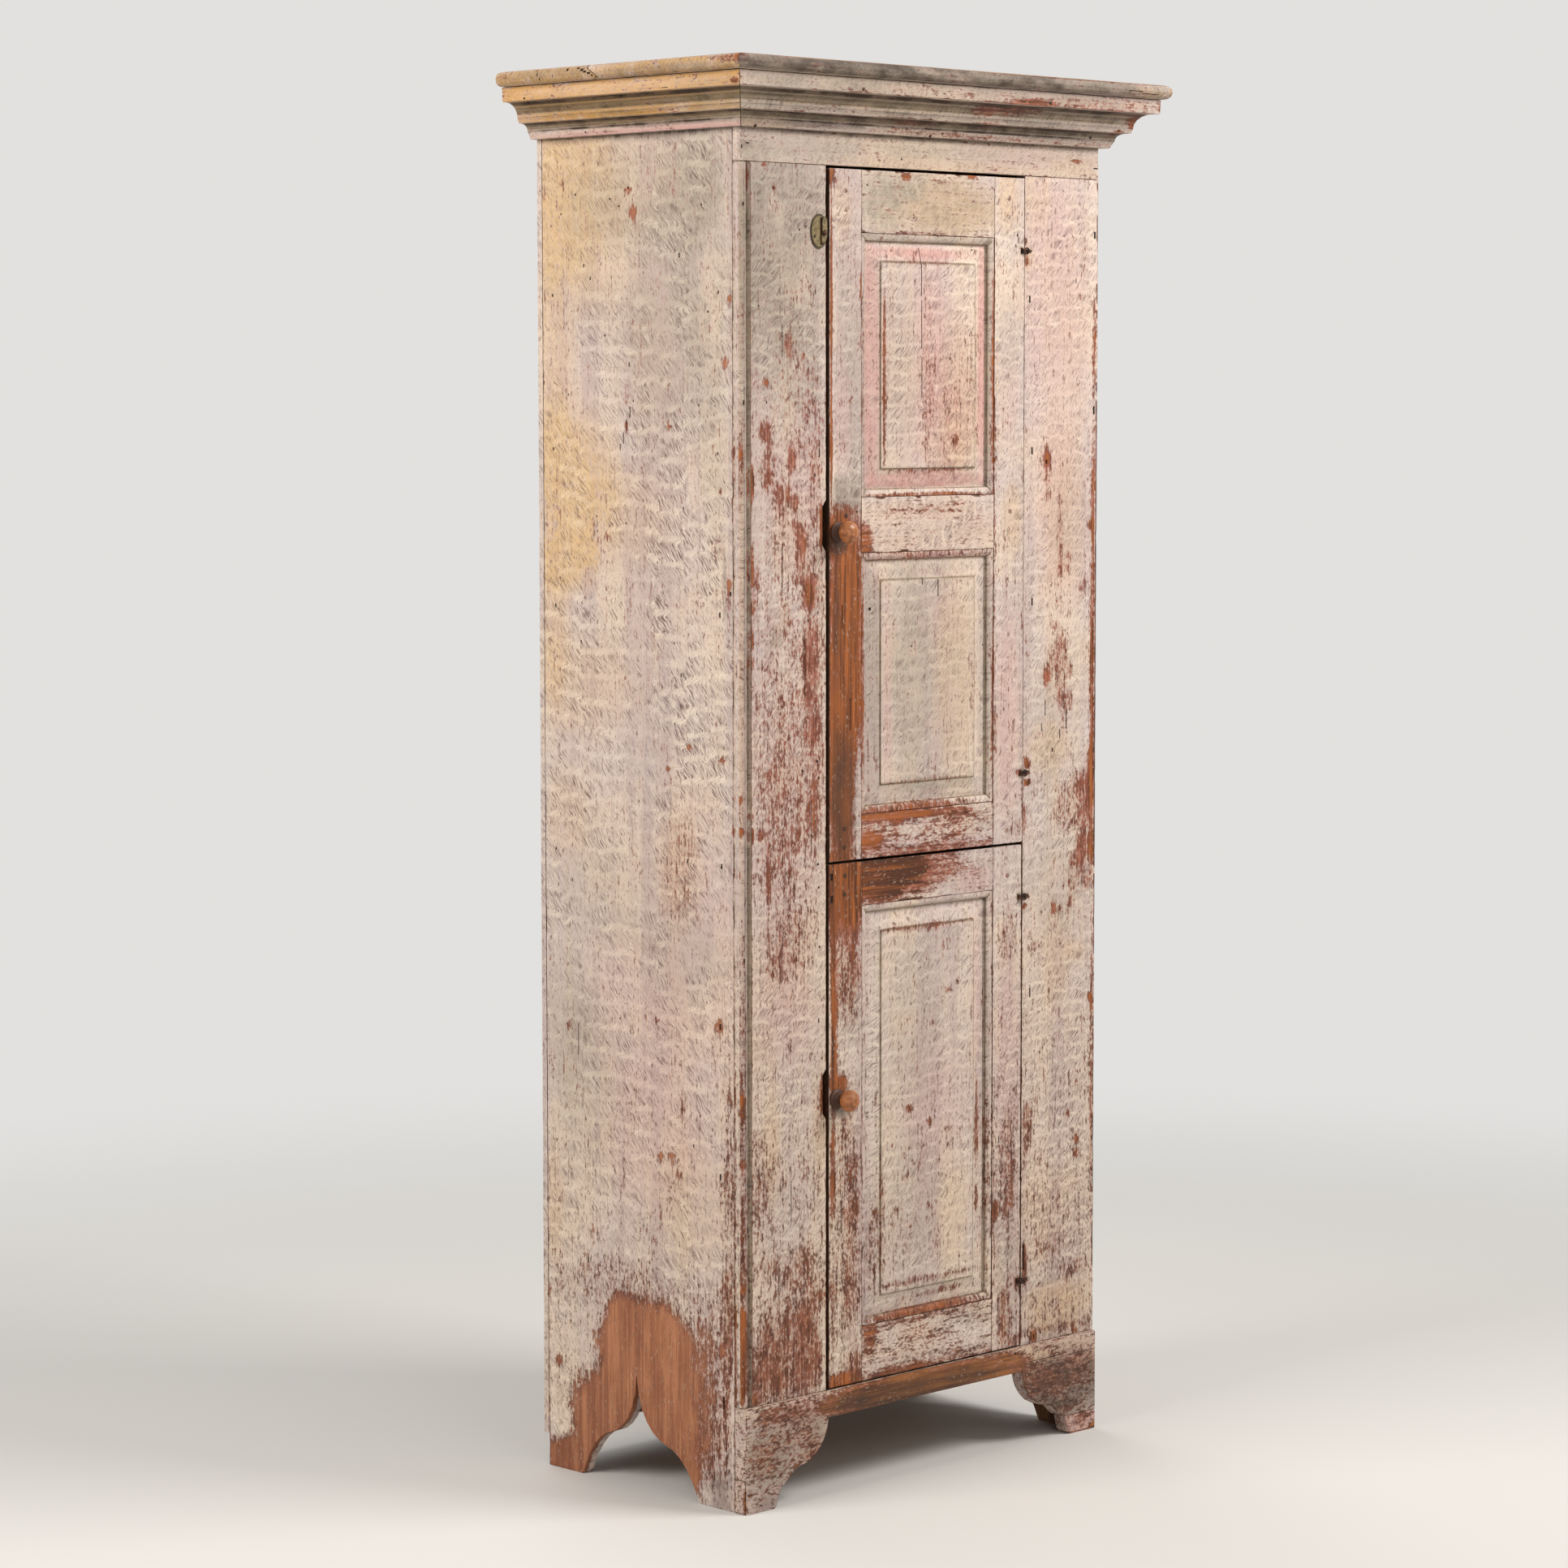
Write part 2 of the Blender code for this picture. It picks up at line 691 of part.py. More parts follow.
def build_hinge(name, z, door_face, looks, case_holder, door_holder, case_stile, door_stile):
    """One snipe hinge: a level loop in the case stile, an upright loop in the door."""
    axis_point = Vector((hinge_x, hinge_y, z))
    upward = Vector((0, 0, 1))
    case_leg = Vector((case_leg_run_share, 1, 0)).normalized()
    case_start = axis_point + case_leg * (loop_radius + leg_neck)
    case_behind = seam_y + fit + wire_radius
    wire_loop(name + "_case_loop",
              loop_path(axis_point, case_leg, upward, case_leg, case_behind),
              looks["iron"], case_holder)
    cut(case_stile, leg_room("room_" + name + "_case", case_start, case_leg, case_behind,
                             upward.cross(case_leg)))
    door_centre = axis_point - Vector((loop_radius, 0, 0))
    door_leg = Vector((-door_leg_run_share, 1, 0)).normalized()
    door_back = door_face + door_thickness
    door_start = door_centre - Vector((loop_radius + leg_neck, 0, 0))
    door_behind = door_back + fit + wire_radius
    wire_loop(name + "_door_loop",
              loop_path(door_centre, Vector((-1, 0, 0)), Vector((0, 1, 0)), door_leg,
                        door_behind), looks["iron"], door_holder)
    cut(door_stile, leg_room("room_" + name + "_door", door_start, door_leg, door_behind,
                             upward))


def build_door(prefix, bottom, top, proud, stile_widths, rail_heights, rail_names, panel_names,
               looks, holder):
    """Stiles, rails, panels and mouldings of one door."""
    paint = looks["paint"]
    door_face = face_y - proud
    back = door_face + door_thickness
    inner_left = door_left_x + stile_widths[0]
    inner_right = door_right_x - stile_widths[1]
    stile_left = add_piece(prefix + "_door_stile_left",
                           block((door_left_x, door_face, bottom),
                                 (inner_left - fit, back, top)), paint, holder)
    stile_right = add_piece(prefix + "_door_stile_right",
                            block((inner_right + fit, door_face, bottom),
                                  (door_right_x, back, top)), paint, holder)
    panel_count = len(panel_names)
    opening = (top - bottom - sum(rail_heights)) / panel_count
    groove_below = None
    z = bottom
    for k, (height, rail_name) in enumerate(zip(rail_heights, rail_names)):
        name = prefix + "_door_" + rail_name
        piece = rail(name, inner_left, inner_right, z, z + height, door_face, paint, holder)
        cut(stile_left, mortise("mortise_left_" + name, inner_left, -1, z, z + height, door_face))
        cut(stile_right, mortise("mortise_right_" + name, inner_right, 1, z, z + height,
                                 door_face))
        if groove_below:
            cut(piece, groove_below)
        z = z + height
        if k < panel_count:
            panel_name = prefix + "_" + panel_names[k]
            groove = raised_panel(panel_name, inner_left, inner_right, z, z + opening,
                                  door_face, paint, holder)
            panel_moulding(panel_name.replace("panel", "moulding"), inner_left, inner_right,
                           z, z + opening, door_face, paint, holder)
            for board in (stile_left, stile_right, piece):
                cut(board, groove)
            groove_below = groove
            z = z + opening
    return stile_left, stile_right


def knob_profile(door_face, reach):
    """Radius and y of the turned knob, from the tip of its head to the end of its shaft."""
    tip = door_face - reach
    middle = tip + knob_head_depth / 2
    profile = []
    for k in range(1, knob_head_steps + 1):
        angle = pi * k / (knob_head_steps + 1)
        radius = knob_head_radius * sin(angle)
        if k > 1 and cos(angle) < 0 and radius < knob_neck_radius:
            break
        profile.append((radius, middle - knob_head_depth / 2 * cos(angle)))
    flange_front = door_face - fit - knob_flange_height
    neck_front = profile[-1][1]
    profile.append((knob_neck_radius, (neck_front + flange_front) / 2))
    profile.append((knob_flange_radius * flange_front_share, flange_front))
    profile.append((knob_flange_radius, flange_front + knob_flange_height / 2))
    profile.append((knob_flange_radius * flange_back_share, door_face - fit))
    profile.append((knob_shaft_radius, door_face - fit))
    back = door_face + door_thickness
    profile.append((knob_shaft_radius, back + latch_clearance / 2))
    return profile


def build_knob(prefix, z, proud, reach, looks, holder, door_stile):
    """A turned knob whose shaft carries a wooden latch behind the door."""
    door_face = face_y - proud
    back = door_face + door_thickness
    knob = add_piece(prefix + "_knob",
                     turned(knob_profile(door_face, reach), (knob_x, z), knob_sides),
                     looks["knob"], holder, smooth_angle=pi / 4)
    flat = knob_shaft_radius * shaft_flat_share
    tail_start = back + latch_clearance / 2 - shaft_join
    latch_front = back + latch_clearance
    latch_back = latch_front + latch_thickness
    tail = add_cutter("join_" + prefix + "_shaft",
                      block((knob_x - flat, tail_start, z - flat),
                            (knob_x + flat, latch_back + shaft_tail, z + flat)))
    join = knob.modifiers.new(tail.name, "BOOLEAN")
    join.operation = "UNION"
    join.solver = "EXACT"
    join.object = tail
    half, tip_half = latch_width / 2, latch_width / 2 * latch_tip_share
    tip_z = z + latch_length
    latch_outline = [(knob_x - half, z - latch_tail), (knob_x + half, z - latch_tail),
                     (knob_x + half, tip_z - half), (knob_x + tip_half, tip_z),
                     (knob_x - tip_half, tip_z), (knob_x - half, tip_z - half)]
    latch = add_piece(prefix + "_latch_bar", slab(latch_outline, "Y", latch_front, latch_back),
                      looks["pine"], holder)
    square = flat + fit
    cut(latch, add_cutter("square_" + prefix,
                          block((knob_x - square, latch_front - overrun, z - square),
                                (knob_x + square, latch_back + overrun, z + square))))
    bore = knob_shaft_radius + fit
    cut(door_stile, add_cutter("bore_" + prefix + "_shaft",
                               turned(((bore, door_face - overrun), (bore, back + overrun)),
                                      (knob_x, z), knob_sides)))


def cut_notches(stile):
    """Two shallow notches in the left stile's inner edge, beside the latches."""
    for name, knob_z in (("upper", upper_knob_z), ("lower", lower_knob_z)):
        middle = knob_z + notch_rise
        low, high = middle - notch_length / 2, middle + notch_length / 2
        deep = opening_left_x - notch_depth
        outline = [(opening_left_x + overrun, low), (opening_left_x, low),
                   (deep, low + notch_chamfer), (deep, high - notch_chamfer),
                   (opening_left_x, high), (opening_left_x + overrun, high)]
        cut(stile, add_cutter("notch_" + name, slab(outline, "Y", face_y - overrun,
                                                    seam_y + overrun)))


def oval_outline(x, z, half_width, half_height, sides):
    """An ellipse as a closed outline."""
    return [(x + half_width * cos(tau * k / sides), z + half_height * sin(tau * k / sides))
            for k in range(sides)]


def cover_outline():
    """Pear shape of the keyhole cover, standing up from its rivet."""
    lean = asin((cover_tip_radius - cover_eye_radius) / cover_arm)
    outline = []
    for k in range(cover_steps + 1):
        angle = -lean + (pi + 2 * lean) * k / cover_steps
        outline.append((rivet_x + cover_tip_radius * cos(angle),
                        rivet_z + cover_arm + cover_tip_radius * sin(angle)))
    for k in range(cover_steps + 1):
        angle = pi + lean + (pi - 2 * lean) * k / cover_steps
        outline.append((rivet_x + cover_eye_radius * cos(angle),
                        rivet_z + cover_eye_radius * sin(angle)))
    return outline


def build_keyhole(looks, parent, cover_holder, stile):
    """Oval plate, its two pins, the swinging cover and the rivet it turns on."""
    brass, iron = looks["brass"], looks["iron"]
    plate_back = face_y - fit
    plate_front = plate_back - plate_thickness
    cover_back = plate_front - fit
    cover_front = cover_back - cover_thickness
    plate = add_piece("keyhole_plate",
                      slab(oval_outline(plate_x, plate_z, plate_half_width, plate_half_height,
                                        plate_sides), "Y", plate_front, plate_back),
                      brass, parent)
    cover = add_piece("keyhole_cover", slab(cover_outline(), "Y", cover_front, cover_back),
                      brass, cover_holder)
    slot_x = plate_x + slot_offset
    slot = add_cutter("keyhole_slot",
                      block((slot_x - slot_width / 2, plate_front - overrun,
                             plate_z - slot_height / 2),
                            (slot_x + slot_width / 2, seam_y + overrun,
                             plate_z + slot_height / 2)))
    head = cover_front - fit
    rivet = [(rivet_head_radius * rivet_crown_share, head - rivet_head_height),
             (rivet_head_radius * rivet_shoulder_share,
              head - rivet_head_height * rivet_shoulder_height_share),
             (rivet_head_radius, head), (rivet_radius, head),
             (rivet_radius, face_y + rivet_length)]
    add_piece("keyhole_rivet", turned(rivet, (rivet_x, rivet_z), plate_sides // 2), iron, parent,
              smooth_angle=pi / 4)
    room = [(rivet_radius + hole_ease, cover_front - overrun),
            (rivet_radius + hole_ease, face_y + rivet_length + hole_ease)]
    holes = turned(room, (rivet_x, rivet_z), plate_sides // 2)
    for name, (across, up) in (("keyhole_pin_left", left_pin_shares),
                               ("keyhole_pin_right", right_pin_shares)):
        place = (plate_x + across * plate_half_width, plate_z + up * plate_half_height)
        top = plate_front - fit
        pin = turned(((pin_head_radius * pin_crown_share, top - pin_head_height),
                      (pin_head_radius, top),
                      (pin_radius, top), (pin_radius, face_y + pin_length)), place, pin_sides)
        add_piece(name, pin, iron, parent)
        turned(((pin_radius + hole_ease, plate_front - overrun),
                (pin_radius + hole_ease, face_y + pin_length + hole_ease)), place, pin_sides,
               holes)
    holes = add_cutter("holes_keyhole", holes)
    cut(plate, slot, holes)
    cut(cover, holes)
    cut(stile, slot, holes)


def build():
    """The whole cupboard."""
    for old in list(bpy.data.objects):
        bpy.data.objects.remove(old, do_unlink=True)
    looks = {
        "paint": finish("aged_paint", (0.52, 0.43, 0.35), 0.62),
        "pine": finish("bare_pine", (0.40, 0.22, 0.10), 0.70),
        "iron": finish("rusty_iron", (0.07, 0.05, 0.04), 0.60, 0.8),
        "brass": finish("dull_brass", (0.22, 0.17, 0.10), 0.48, 0.9),
        "knob": finish("turned_wood", (0.20, 0.08, 0.035), 0.30),
    }
    case = add_holder("case_holder", (0, 0, 0))
    upper = add_holder("upper_door_axis", (hinge_x, hinge_y, upper_door_bottom), case)
    lower = add_holder("lower_door_axis", (hinge_x, hinge_y, lower_door_bottom), case)
    upper_turn = add_holder("upper_knob_axis", (knob_x, face_y, upper_knob_z), upper)
    lower_turn = add_holder("lower_knob_axis", (knob_x, face_y, lower_knob_z), lower)
    cover_turn = add_holder("keyhole_cover_axis", (rivet_x, face_y, rivet_z), case)

    stile_left, stile_right, sides = build_carcase(looks, case)
    build_shelves(looks["pine"], case, sides)
    build_cornice(looks["paint"], case)
    build_top_boards(looks["paint"], case)
    upper_left, upper_right = build_door(
        "upper", upper_door_bottom, upper_door_top, upper_door_proud,
        (upper_stile_width, upper_stile_width), upper_rail_heights,
        ("rail_bottom", "rail_middle", "rail_top"), ("panel_low", "panel_high"), looks, upper)
    lower_left, lower_right = build_door(
        "lower", lower_door_bottom, lower_door_top, lower_door_proud,
        (lower_stile_left_width, lower_stile_right_width), lower_rail_heights,
        ("rail_bottom", "rail_top"), ("panel",), looks, lower)
    hinges = (
        ("upper_hinge_low", upper_door_bottom + upper_hinge_insets[0], upper_door_proud,
         upper, upper_right),
        ("upper_hinge_high", upper_door_top - upper_hinge_insets[1], upper_door_proud,
         upper, upper_right),
        ("lower_hinge_low", lower_door_bottom + lower_hinge_insets[0], lower_door_proud,
         lower, lower_right),
        ("lower_hinge_high", lower_door_top - lower_hinge_insets[1], lower_door_proud,
         lower, lower_right),
    )
    for name, z, proud, holder, door_stile in hinges:
        build_hinge(name, z, face_y - proud, looks, case, holder, stile_right, door_stile)
    build_knob("upper", upper_knob_z, upper_door_proud, upper_knob_reach, looks, upper_turn,
               upper_left)
    build_knob("lower", lower_knob_z, lower_door_proud, lower_knob_reach, looks, lower_turn,
               lower_left)
    cut_notches(stile_left)
    build_keyhole(looks, case, cover_turn, stile_left)


build()
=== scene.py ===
"""Looks of the painted pine cupboard: worn boards, combed paint, pine, iron, brass, light and camera."""

import json
import math
import random

import bmesh
import bpy
import numpy as np
from mathutils import Matrix, Vector, bvhtree, kdtree, noise


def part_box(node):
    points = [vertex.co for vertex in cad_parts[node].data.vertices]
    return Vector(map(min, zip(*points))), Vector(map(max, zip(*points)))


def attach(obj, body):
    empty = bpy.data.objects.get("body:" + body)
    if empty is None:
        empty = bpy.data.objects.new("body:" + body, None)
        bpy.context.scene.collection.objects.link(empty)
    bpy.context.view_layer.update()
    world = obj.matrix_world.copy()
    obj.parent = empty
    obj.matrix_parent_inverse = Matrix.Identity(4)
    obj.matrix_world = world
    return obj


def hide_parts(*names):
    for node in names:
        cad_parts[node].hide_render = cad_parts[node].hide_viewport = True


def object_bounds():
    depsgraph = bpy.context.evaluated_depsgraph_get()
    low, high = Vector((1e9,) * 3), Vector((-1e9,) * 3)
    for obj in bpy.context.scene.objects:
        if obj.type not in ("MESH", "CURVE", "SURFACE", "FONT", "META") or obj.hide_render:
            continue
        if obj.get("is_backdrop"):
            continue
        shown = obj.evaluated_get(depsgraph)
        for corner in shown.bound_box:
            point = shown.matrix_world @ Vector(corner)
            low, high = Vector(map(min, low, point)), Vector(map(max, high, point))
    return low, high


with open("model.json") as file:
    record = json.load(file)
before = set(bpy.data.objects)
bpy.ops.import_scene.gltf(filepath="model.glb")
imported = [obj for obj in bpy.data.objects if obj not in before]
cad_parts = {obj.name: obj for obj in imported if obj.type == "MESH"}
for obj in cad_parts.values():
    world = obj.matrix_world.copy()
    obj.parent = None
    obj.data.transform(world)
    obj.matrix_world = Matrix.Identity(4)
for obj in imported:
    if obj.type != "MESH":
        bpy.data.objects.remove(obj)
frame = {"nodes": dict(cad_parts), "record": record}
cad_low, cad_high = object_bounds()
nodes = frame["nodes"]
record = frame["record"]
body_of = {node: body for body, members in record["behaviour"]["bodies"].items() for node in members}
chance = random.Random(7)

# Sizes are in metres. The left side faces -X and the front faces -Y.
mm = 0.001


def srgb(*shades):
    """A colour written in 0 to 255, as the linear numbers that shaders take."""
    return tuple(c / 255 / 12.92 if c <= 10 else ((c / 255 + 0.055) / 1.055) ** 2.4 for c in shades)


# Shader trees


class Net:
    """A material's node tree, written as calculations on sockets."""

    def __init__(self, name):
        self.material = bpy.data.materials.new(name)
        self.material.use_nodes = True
        self.tree = self.material.node_tree
        self.tree.nodes.clear()
        self.output = self.node("ShaderNodeOutputMaterial")
        self.shader = self.node("ShaderNodeBsdfPrincipled")
        self.tree.links.new(self.shader.outputs["BSDF"], self.output.inputs["Surface"])
        self.place = self.node("ShaderNodeTexCoord").outputs["Object"]

    def node(self, kind, **settings):
        made = self.tree.nodes.new(kind)
        for key, value in settings.items():
            setattr(made, key, value)
        return made

    def put(self, value, socket):
        """Links a socket to another one, or gives it a constant."""
        if isinstance(value, bpy.types.NodeSocket):
            self.tree.links.new(value, socket)
        elif socket.type == "RGBA":
            socket.default_value = (*value, 1)
        else:
            socket.default_value = value

    def calc(self, operation, *values, clamp=False):
        made = self.node("ShaderNodeMath", operation=operation, use_clamp=clamp)
        for value, socket in zip(values, made.inputs):
            self.put(value, socket)
        return made.outputs[0]

    def add(self, first, *others):
        for other in others:
            first = self.calc("ADD", first, other)
        return first

    def times(self, first, *others):
        for other in others:
            first = self.calc("MULTIPLY", first, other)
        return first

    def around(self, value, gain):
        """(value - 0.5) * gain"""
        return self.calc("MULTIPLY_ADD", value, gain, -0.5 * gain)

    def rest(self, value, clamp=False):
        """1 - value"""
        return self.calc("SUBTRACT", 1.0, value, clamp=clamp)

    def step(self, value, low, high):
        """0 at low and 1 at high, with a smooth rise between them."""
        made = self.node("ShaderNodeMapRange", interpolation_type="SMOOTHSTEP")
        for given, key in ((value, "Value"), (low, "From Min"), (high, "From Max")):
            self.put(given, made.inputs[key])
        return made.outputs["Result"]

    def scaled(self, x, y, z):
        """Object coordinates with each axis times a number of its own."""
        made = self.node("ShaderNodeVectorMath", operation="MULTIPLY")
        self.put(self.place, made.inputs[0])
        made.inputs[1].default_value = (x, y, z)
        return made.outputs[0]

    def joined(self, x, y, z):
        made = self.node("ShaderNodeCombineXYZ")
        for value, socket in zip((x, y, z), made.inputs):
            self.put(value, socket)
        return made.outputs[0]

    def noise(self, place, scale, detail=2, rough=0.5):
        made = self.node("ShaderNodeTexNoise")
        self.put(place, made.inputs["Vector"])
        made.inputs["Scale"].default_value = scale
        made.inputs["Detail"].default_value = detail
        made.inputs["Roughness"].default_value = rough
        return made.outputs[0]

    def blend(self, share, first, second):
        """The first colour at a share of 0 and the second at 1."""
        made = self.node("ShaderNodeMix", data_type="RGBA")
        self.put(share, made.inputs[0])
        self.put(first, made.inputs[6])
        self.put(second, made.inputs[7])
        return made.outputs[2]

    def bump(self, height, strength, distance):
        made = self.node("ShaderNodeBump")
        made.inputs["Strength"].default_value = strength
        made.inputs["Distance"].default_value = distance
        self.put(height, made.inputs["Height"])
        self.tree.links.new(made.outputs["Normal"], self.shader.inputs["Normal"])

    def attribute(self, name):
        """(first, second, third, fourth) number of a point attribute of the mesh."""
        made = self.node("ShaderNodeAttribute", attribute_name=name)
        parts = self.node("ShaderNodeSeparateColor")
        self.tree.links.new(made.outputs["Color"], parts.inputs[0])
        return (*parts.outputs[:3], made.outputs["Alpha"])


def stretched(along, share):
    """Scales that draw a pattern out along the grain."""
    return [share if axis == along else 1 for axis in "xyz"]


def pine_colour(net, along, dark, light, shade=0.5, stained=1.1):
    """Bare pine: light and dark rings drawn out along the grain, with stains and darker hair lines."""
    stretch = stretched(along, 0.035)
    place = net.scaled(*stretch)
    ring = net.noise(place, 170, 3, 0.6)
    hair = net.noise(place, 480, 2, 0.6)
    stain = net.noise(net.scaled(*(0.3 + 0.7 * s for s in stretch)), 16, 3)
    tone = net.step(net.add(net.around(ring, 2.0), net.around(stain, stained), shade), 0.15, 0.85)
    colour = net.blend(tone, dark, light)
    lines = net.step(hair, 0.54, 0.68)
    colour = net.blend(net.times(lines, 0.7), colour, tuple(0.6 * c for c in dark))
    return colour, ring, hair


# Colours of the top coat, of what its comb and its wear leave on it, and of the coat and wood below it.
# Some of them are painted shade: the shade in hollows, the darkening of dirt and painted shadows, and the
# dark inside of holes.
CREAM, COOL_CREAM, LOW_CREAM = srgb(231, 211, 192), srgb(213, 197, 191), srgb(210, 190, 169)
DULL_CREAM, MAUVE, BUTTER = srgb(198, 177, 162), srgb(190, 171, 168), srgb(226, 206, 180)
ROSE, PALE, ASH, HOLLOW_SHADE = srgb(216, 169, 160), srgb(230, 213, 200), srgb(163, 153, 136), srgb(160, 142, 106)
THIN_GLAZE, THICK_GLAZE = srgb(154, 130, 121), srgb(110, 85, 80)
BRIGHT_HAIR, BRIGHT_FLICK = srgb(243, 227, 206), srgb(246, 228, 204)
OPEN_GRAIN, DARK_FLECK, LIGHT_FLECK = srgb(140, 110, 94), srgb(134, 105, 94), srgb(246, 234, 219)
DARK_RED, DARK_LOW_RED = srgb(106, 58, 45), srgb(84, 46, 33)
LIGHT_RED, LIGHT_LOW_RED, RUBBED_RED = srgb(162, 98, 78), srgb(142, 86, 62), srgb(186, 122, 88)
RED_PINE, DIRT_AND_SHADE_PINE, DARK_PINE = srgb(122, 66, 38), srgb(84, 48, 30), srgb(84, 50, 33)
PAINT_SCRAP = srgb(206, 182, 160)
DRY_PINE = srgb(120, 84, 56), srgb(180, 134, 90)
GRIME_AND_SHADE, DEEP_SHADE, HOLE_SHADE_AND_DIRT = srgb(60, 44, 33), srgb(52, 36, 25), srgb(40, 25, 18)


def painted(
    name, along, comb=1.0, strip=42 * mm, row=20 * mm, reach=6 * mm, wobble=6, hair_scale=400,
    low_share=0.35, wood=(srgb(76, 38, 16), srgb(170, 95, 43)), yellow=srgb(218, 183, 138),
    streaky=1.2, bow=4,
):
    """Worn combed paint over a red-brown coat over bare pine, led by the mesh's wear, tint and rim.

    The comb leaves strips of rows, each hair of which reaches to the sides, with a bow and a wobble.
    """
    net = Net(name)
    parts = net.node("ShaderNodeSeparateXYZ")
    net.put(net.place, parts.inputs[0])
    x, y, z = parts.outputs[:3]
    across, down = net.add(x, y), z
    if along != "z":
        across, down = down, across
    red, bare, dirt, combed = net.attribute("wear")
    ochre, rose, pale, ash = net.attribute("tint")
    edge, hole, hollow, inner_face = net.attribute("rim")

    fine_place = net.scaled(*stretched(along, 0.04))
    place = net.scaled(*stretched(along, 0.5))
    broad = net.noise(net.place, 6.5, 2)
    patch = net.noise(place, 24, 3, 0.6)
    blot = net.noise(place, 120, 3, 0.65)
    fleck = net.noise(place, 330, 2, 0.6)
    grain = net.noise(fine_place, 260, 3, 0.62)
    rough_fleck = net.add(0.5, net.around(fleck, 1.5), net.around(blot, 1.1))
    nick = net.noise(place, 48, 3, 0.6)
    broken = net.step(nick, 0.42, 0.7)

    # The comb was drawn along the board in strips, sweeping one way and flicking back.
    bent = net.add(across, net.around(broad, 50 * mm))
    lane = net.times(bent, 1 / strip)
    start = net.node("ShaderNodeTexWhiteNoise", noise_dimensions="1D")
    net.put(net.calc("FLOOR", lane), start.inputs["W"])
    off_centre = net.calc("SUBTRACT", net.calc("FRACT", lane), 0.5)
    turn = net.add(
        net.times(down, math.tau / row), net.times(start.outputs[0], math.tau),
        net.times(off_centre, off_centre, bow), net.around(patch, wobble), net.around(broad, 6),
    )
    sweep = net.calc("SINE", net.add(turn, net.times(net.calc("SINE", turn), 0.7)))
    flick = net.step(net.calc("COSINE", turn), 0.45, 1.0)
    drawn = net.add(bent, net.times(sweep, reach))
    hairs = net.noise(net.joined(drawn, net.times(down, 0.14), 0.0), hair_scale, 2, 0.6)
    uneven = net.add(patch, net.around(blot, 0.5))
    shown = net.times(net.step(uneven, 0.36, 0.66), net.add(comb, combed))
    bristle = net.step(hairs, 0.49, 0.62)
    bright_hair = net.step(hairs, 0.5, 0.4)
    stroke = net.times(bristle, net.add(0.3, net.times(shown, 0.5)), net.rest(net.times(flick, 0.5)))
    shade = net.times(shown, net.rest(flick))

    # The top coat.
    cream = net.blend(net.step(net.add(broad, net.around(patch, 0.5)), 0.34, 0.66), CREAM, COOL_CREAM)
    cream = net.blend(net.times(net.step(z, 1.0, 0.5), low_share), cream, LOW_CREAM)
    cream = net.blend(net.times(start.outputs[0], 0.35), cream, DULL_CREAM)
    band = net.noise(fine_place, 21, 2, 0.6)
    tinge = net.step(uneven, 0.12, 0.62)
    glaze = net.blend(net.step(blot, 0.36, 0.62), THIN_GLAZE, THICK_GLAZE)
    coat = cream
    for share, colour in (
        (net.times(net.step(band, 0.5, 0.62), 0.6), MAUVE),
        (net.times(net.step(band, 0.48, 0.34), 0.4), BUTTER),
        (net.times(ochre, tinge), yellow),
        (net.times(rose, net.add(0.45, net.times(tinge, 0.5))), ROSE),
        (net.times(pale, 0.85), PALE),
        (net.times(ash, tinge, 0.9), ASH),
        # painted shade in hollows and inner corners, from how closed in each point is
        (net.times(net.step(hollow, 0.2, 0.75), 0.65), HOLLOW_SHADE),
        (net.times(shade, 0.12), glaze),
        (net.times(stroke, 0.85), glaze),
        (net.times(bright_hair, shown, 0.3), BRIGHT_HAIR),
        (net.times(flick, shown, 0.16), BRIGHT_FLICK),
        (net.times(net.step(grain, 0.55, 0.75), 0.4), OPEN_GRAIN),
        (net.times(net.step(rough_fleck, 0.6, 1.0), 0.35), DARK_FLECK),
        (net.times(net.step(rough_fleck, 0.42, 0.1), 0.45), LIGHT_FLECK),
    ):
        coat = net.blend(share, coat, colour)

    # How much of the top coat and of the coat below it is left.
    band_end = net.add(0.9 * mm, net.times(broken, 2.6 * mm))
    rub = net.rest(net.step(edge, net.times(broken, 0.8 * mm), band_end))
    rub = net.times(rub, net.rest(net.times(hollow, 3.0), clamp=True))
    height = net.add(
        0.5, net.around(fleck, 1.8), net.around(blot, 1.3), net.around(grain, streaky),
        net.around(hairs, 1.0), net.around(patch, 0.6), net.around(nick, 0.5), net.times(stroke, -0.12),
    )
    rubbed_share = net.rest(net.calc("POWER", 0.33, red))
    loss = net.add(
        net.times(rubbed_share, 0.95), net.times(bare, 0.5),
        net.times(rub, net.add(0.28, net.times(broken, 0.3))),
    )
    kept = net.step(height, net.calc("SUBTRACT", loss, 0.3), net.add(loss, 0.18))
    thick = net.step(height, net.calc("SUBTRACT", loss, 0.14), net.add(loss, 0.5))
    wood_height = net.add(
        0.5, net.around(grain, 1.4), net.around(blot, 1.2), net.around(fleck, 0.9), net.around(patch, 0.7),
        net.around(nick, 1.0),
    )
    gone = net.add(net.times(bare, 0.9), net.times(rub, broken, 0.35))
    under_kept = net.step(wood_height, net.calc("SUBTRACT", gone, 0.3), net.add(gone, 0.2))

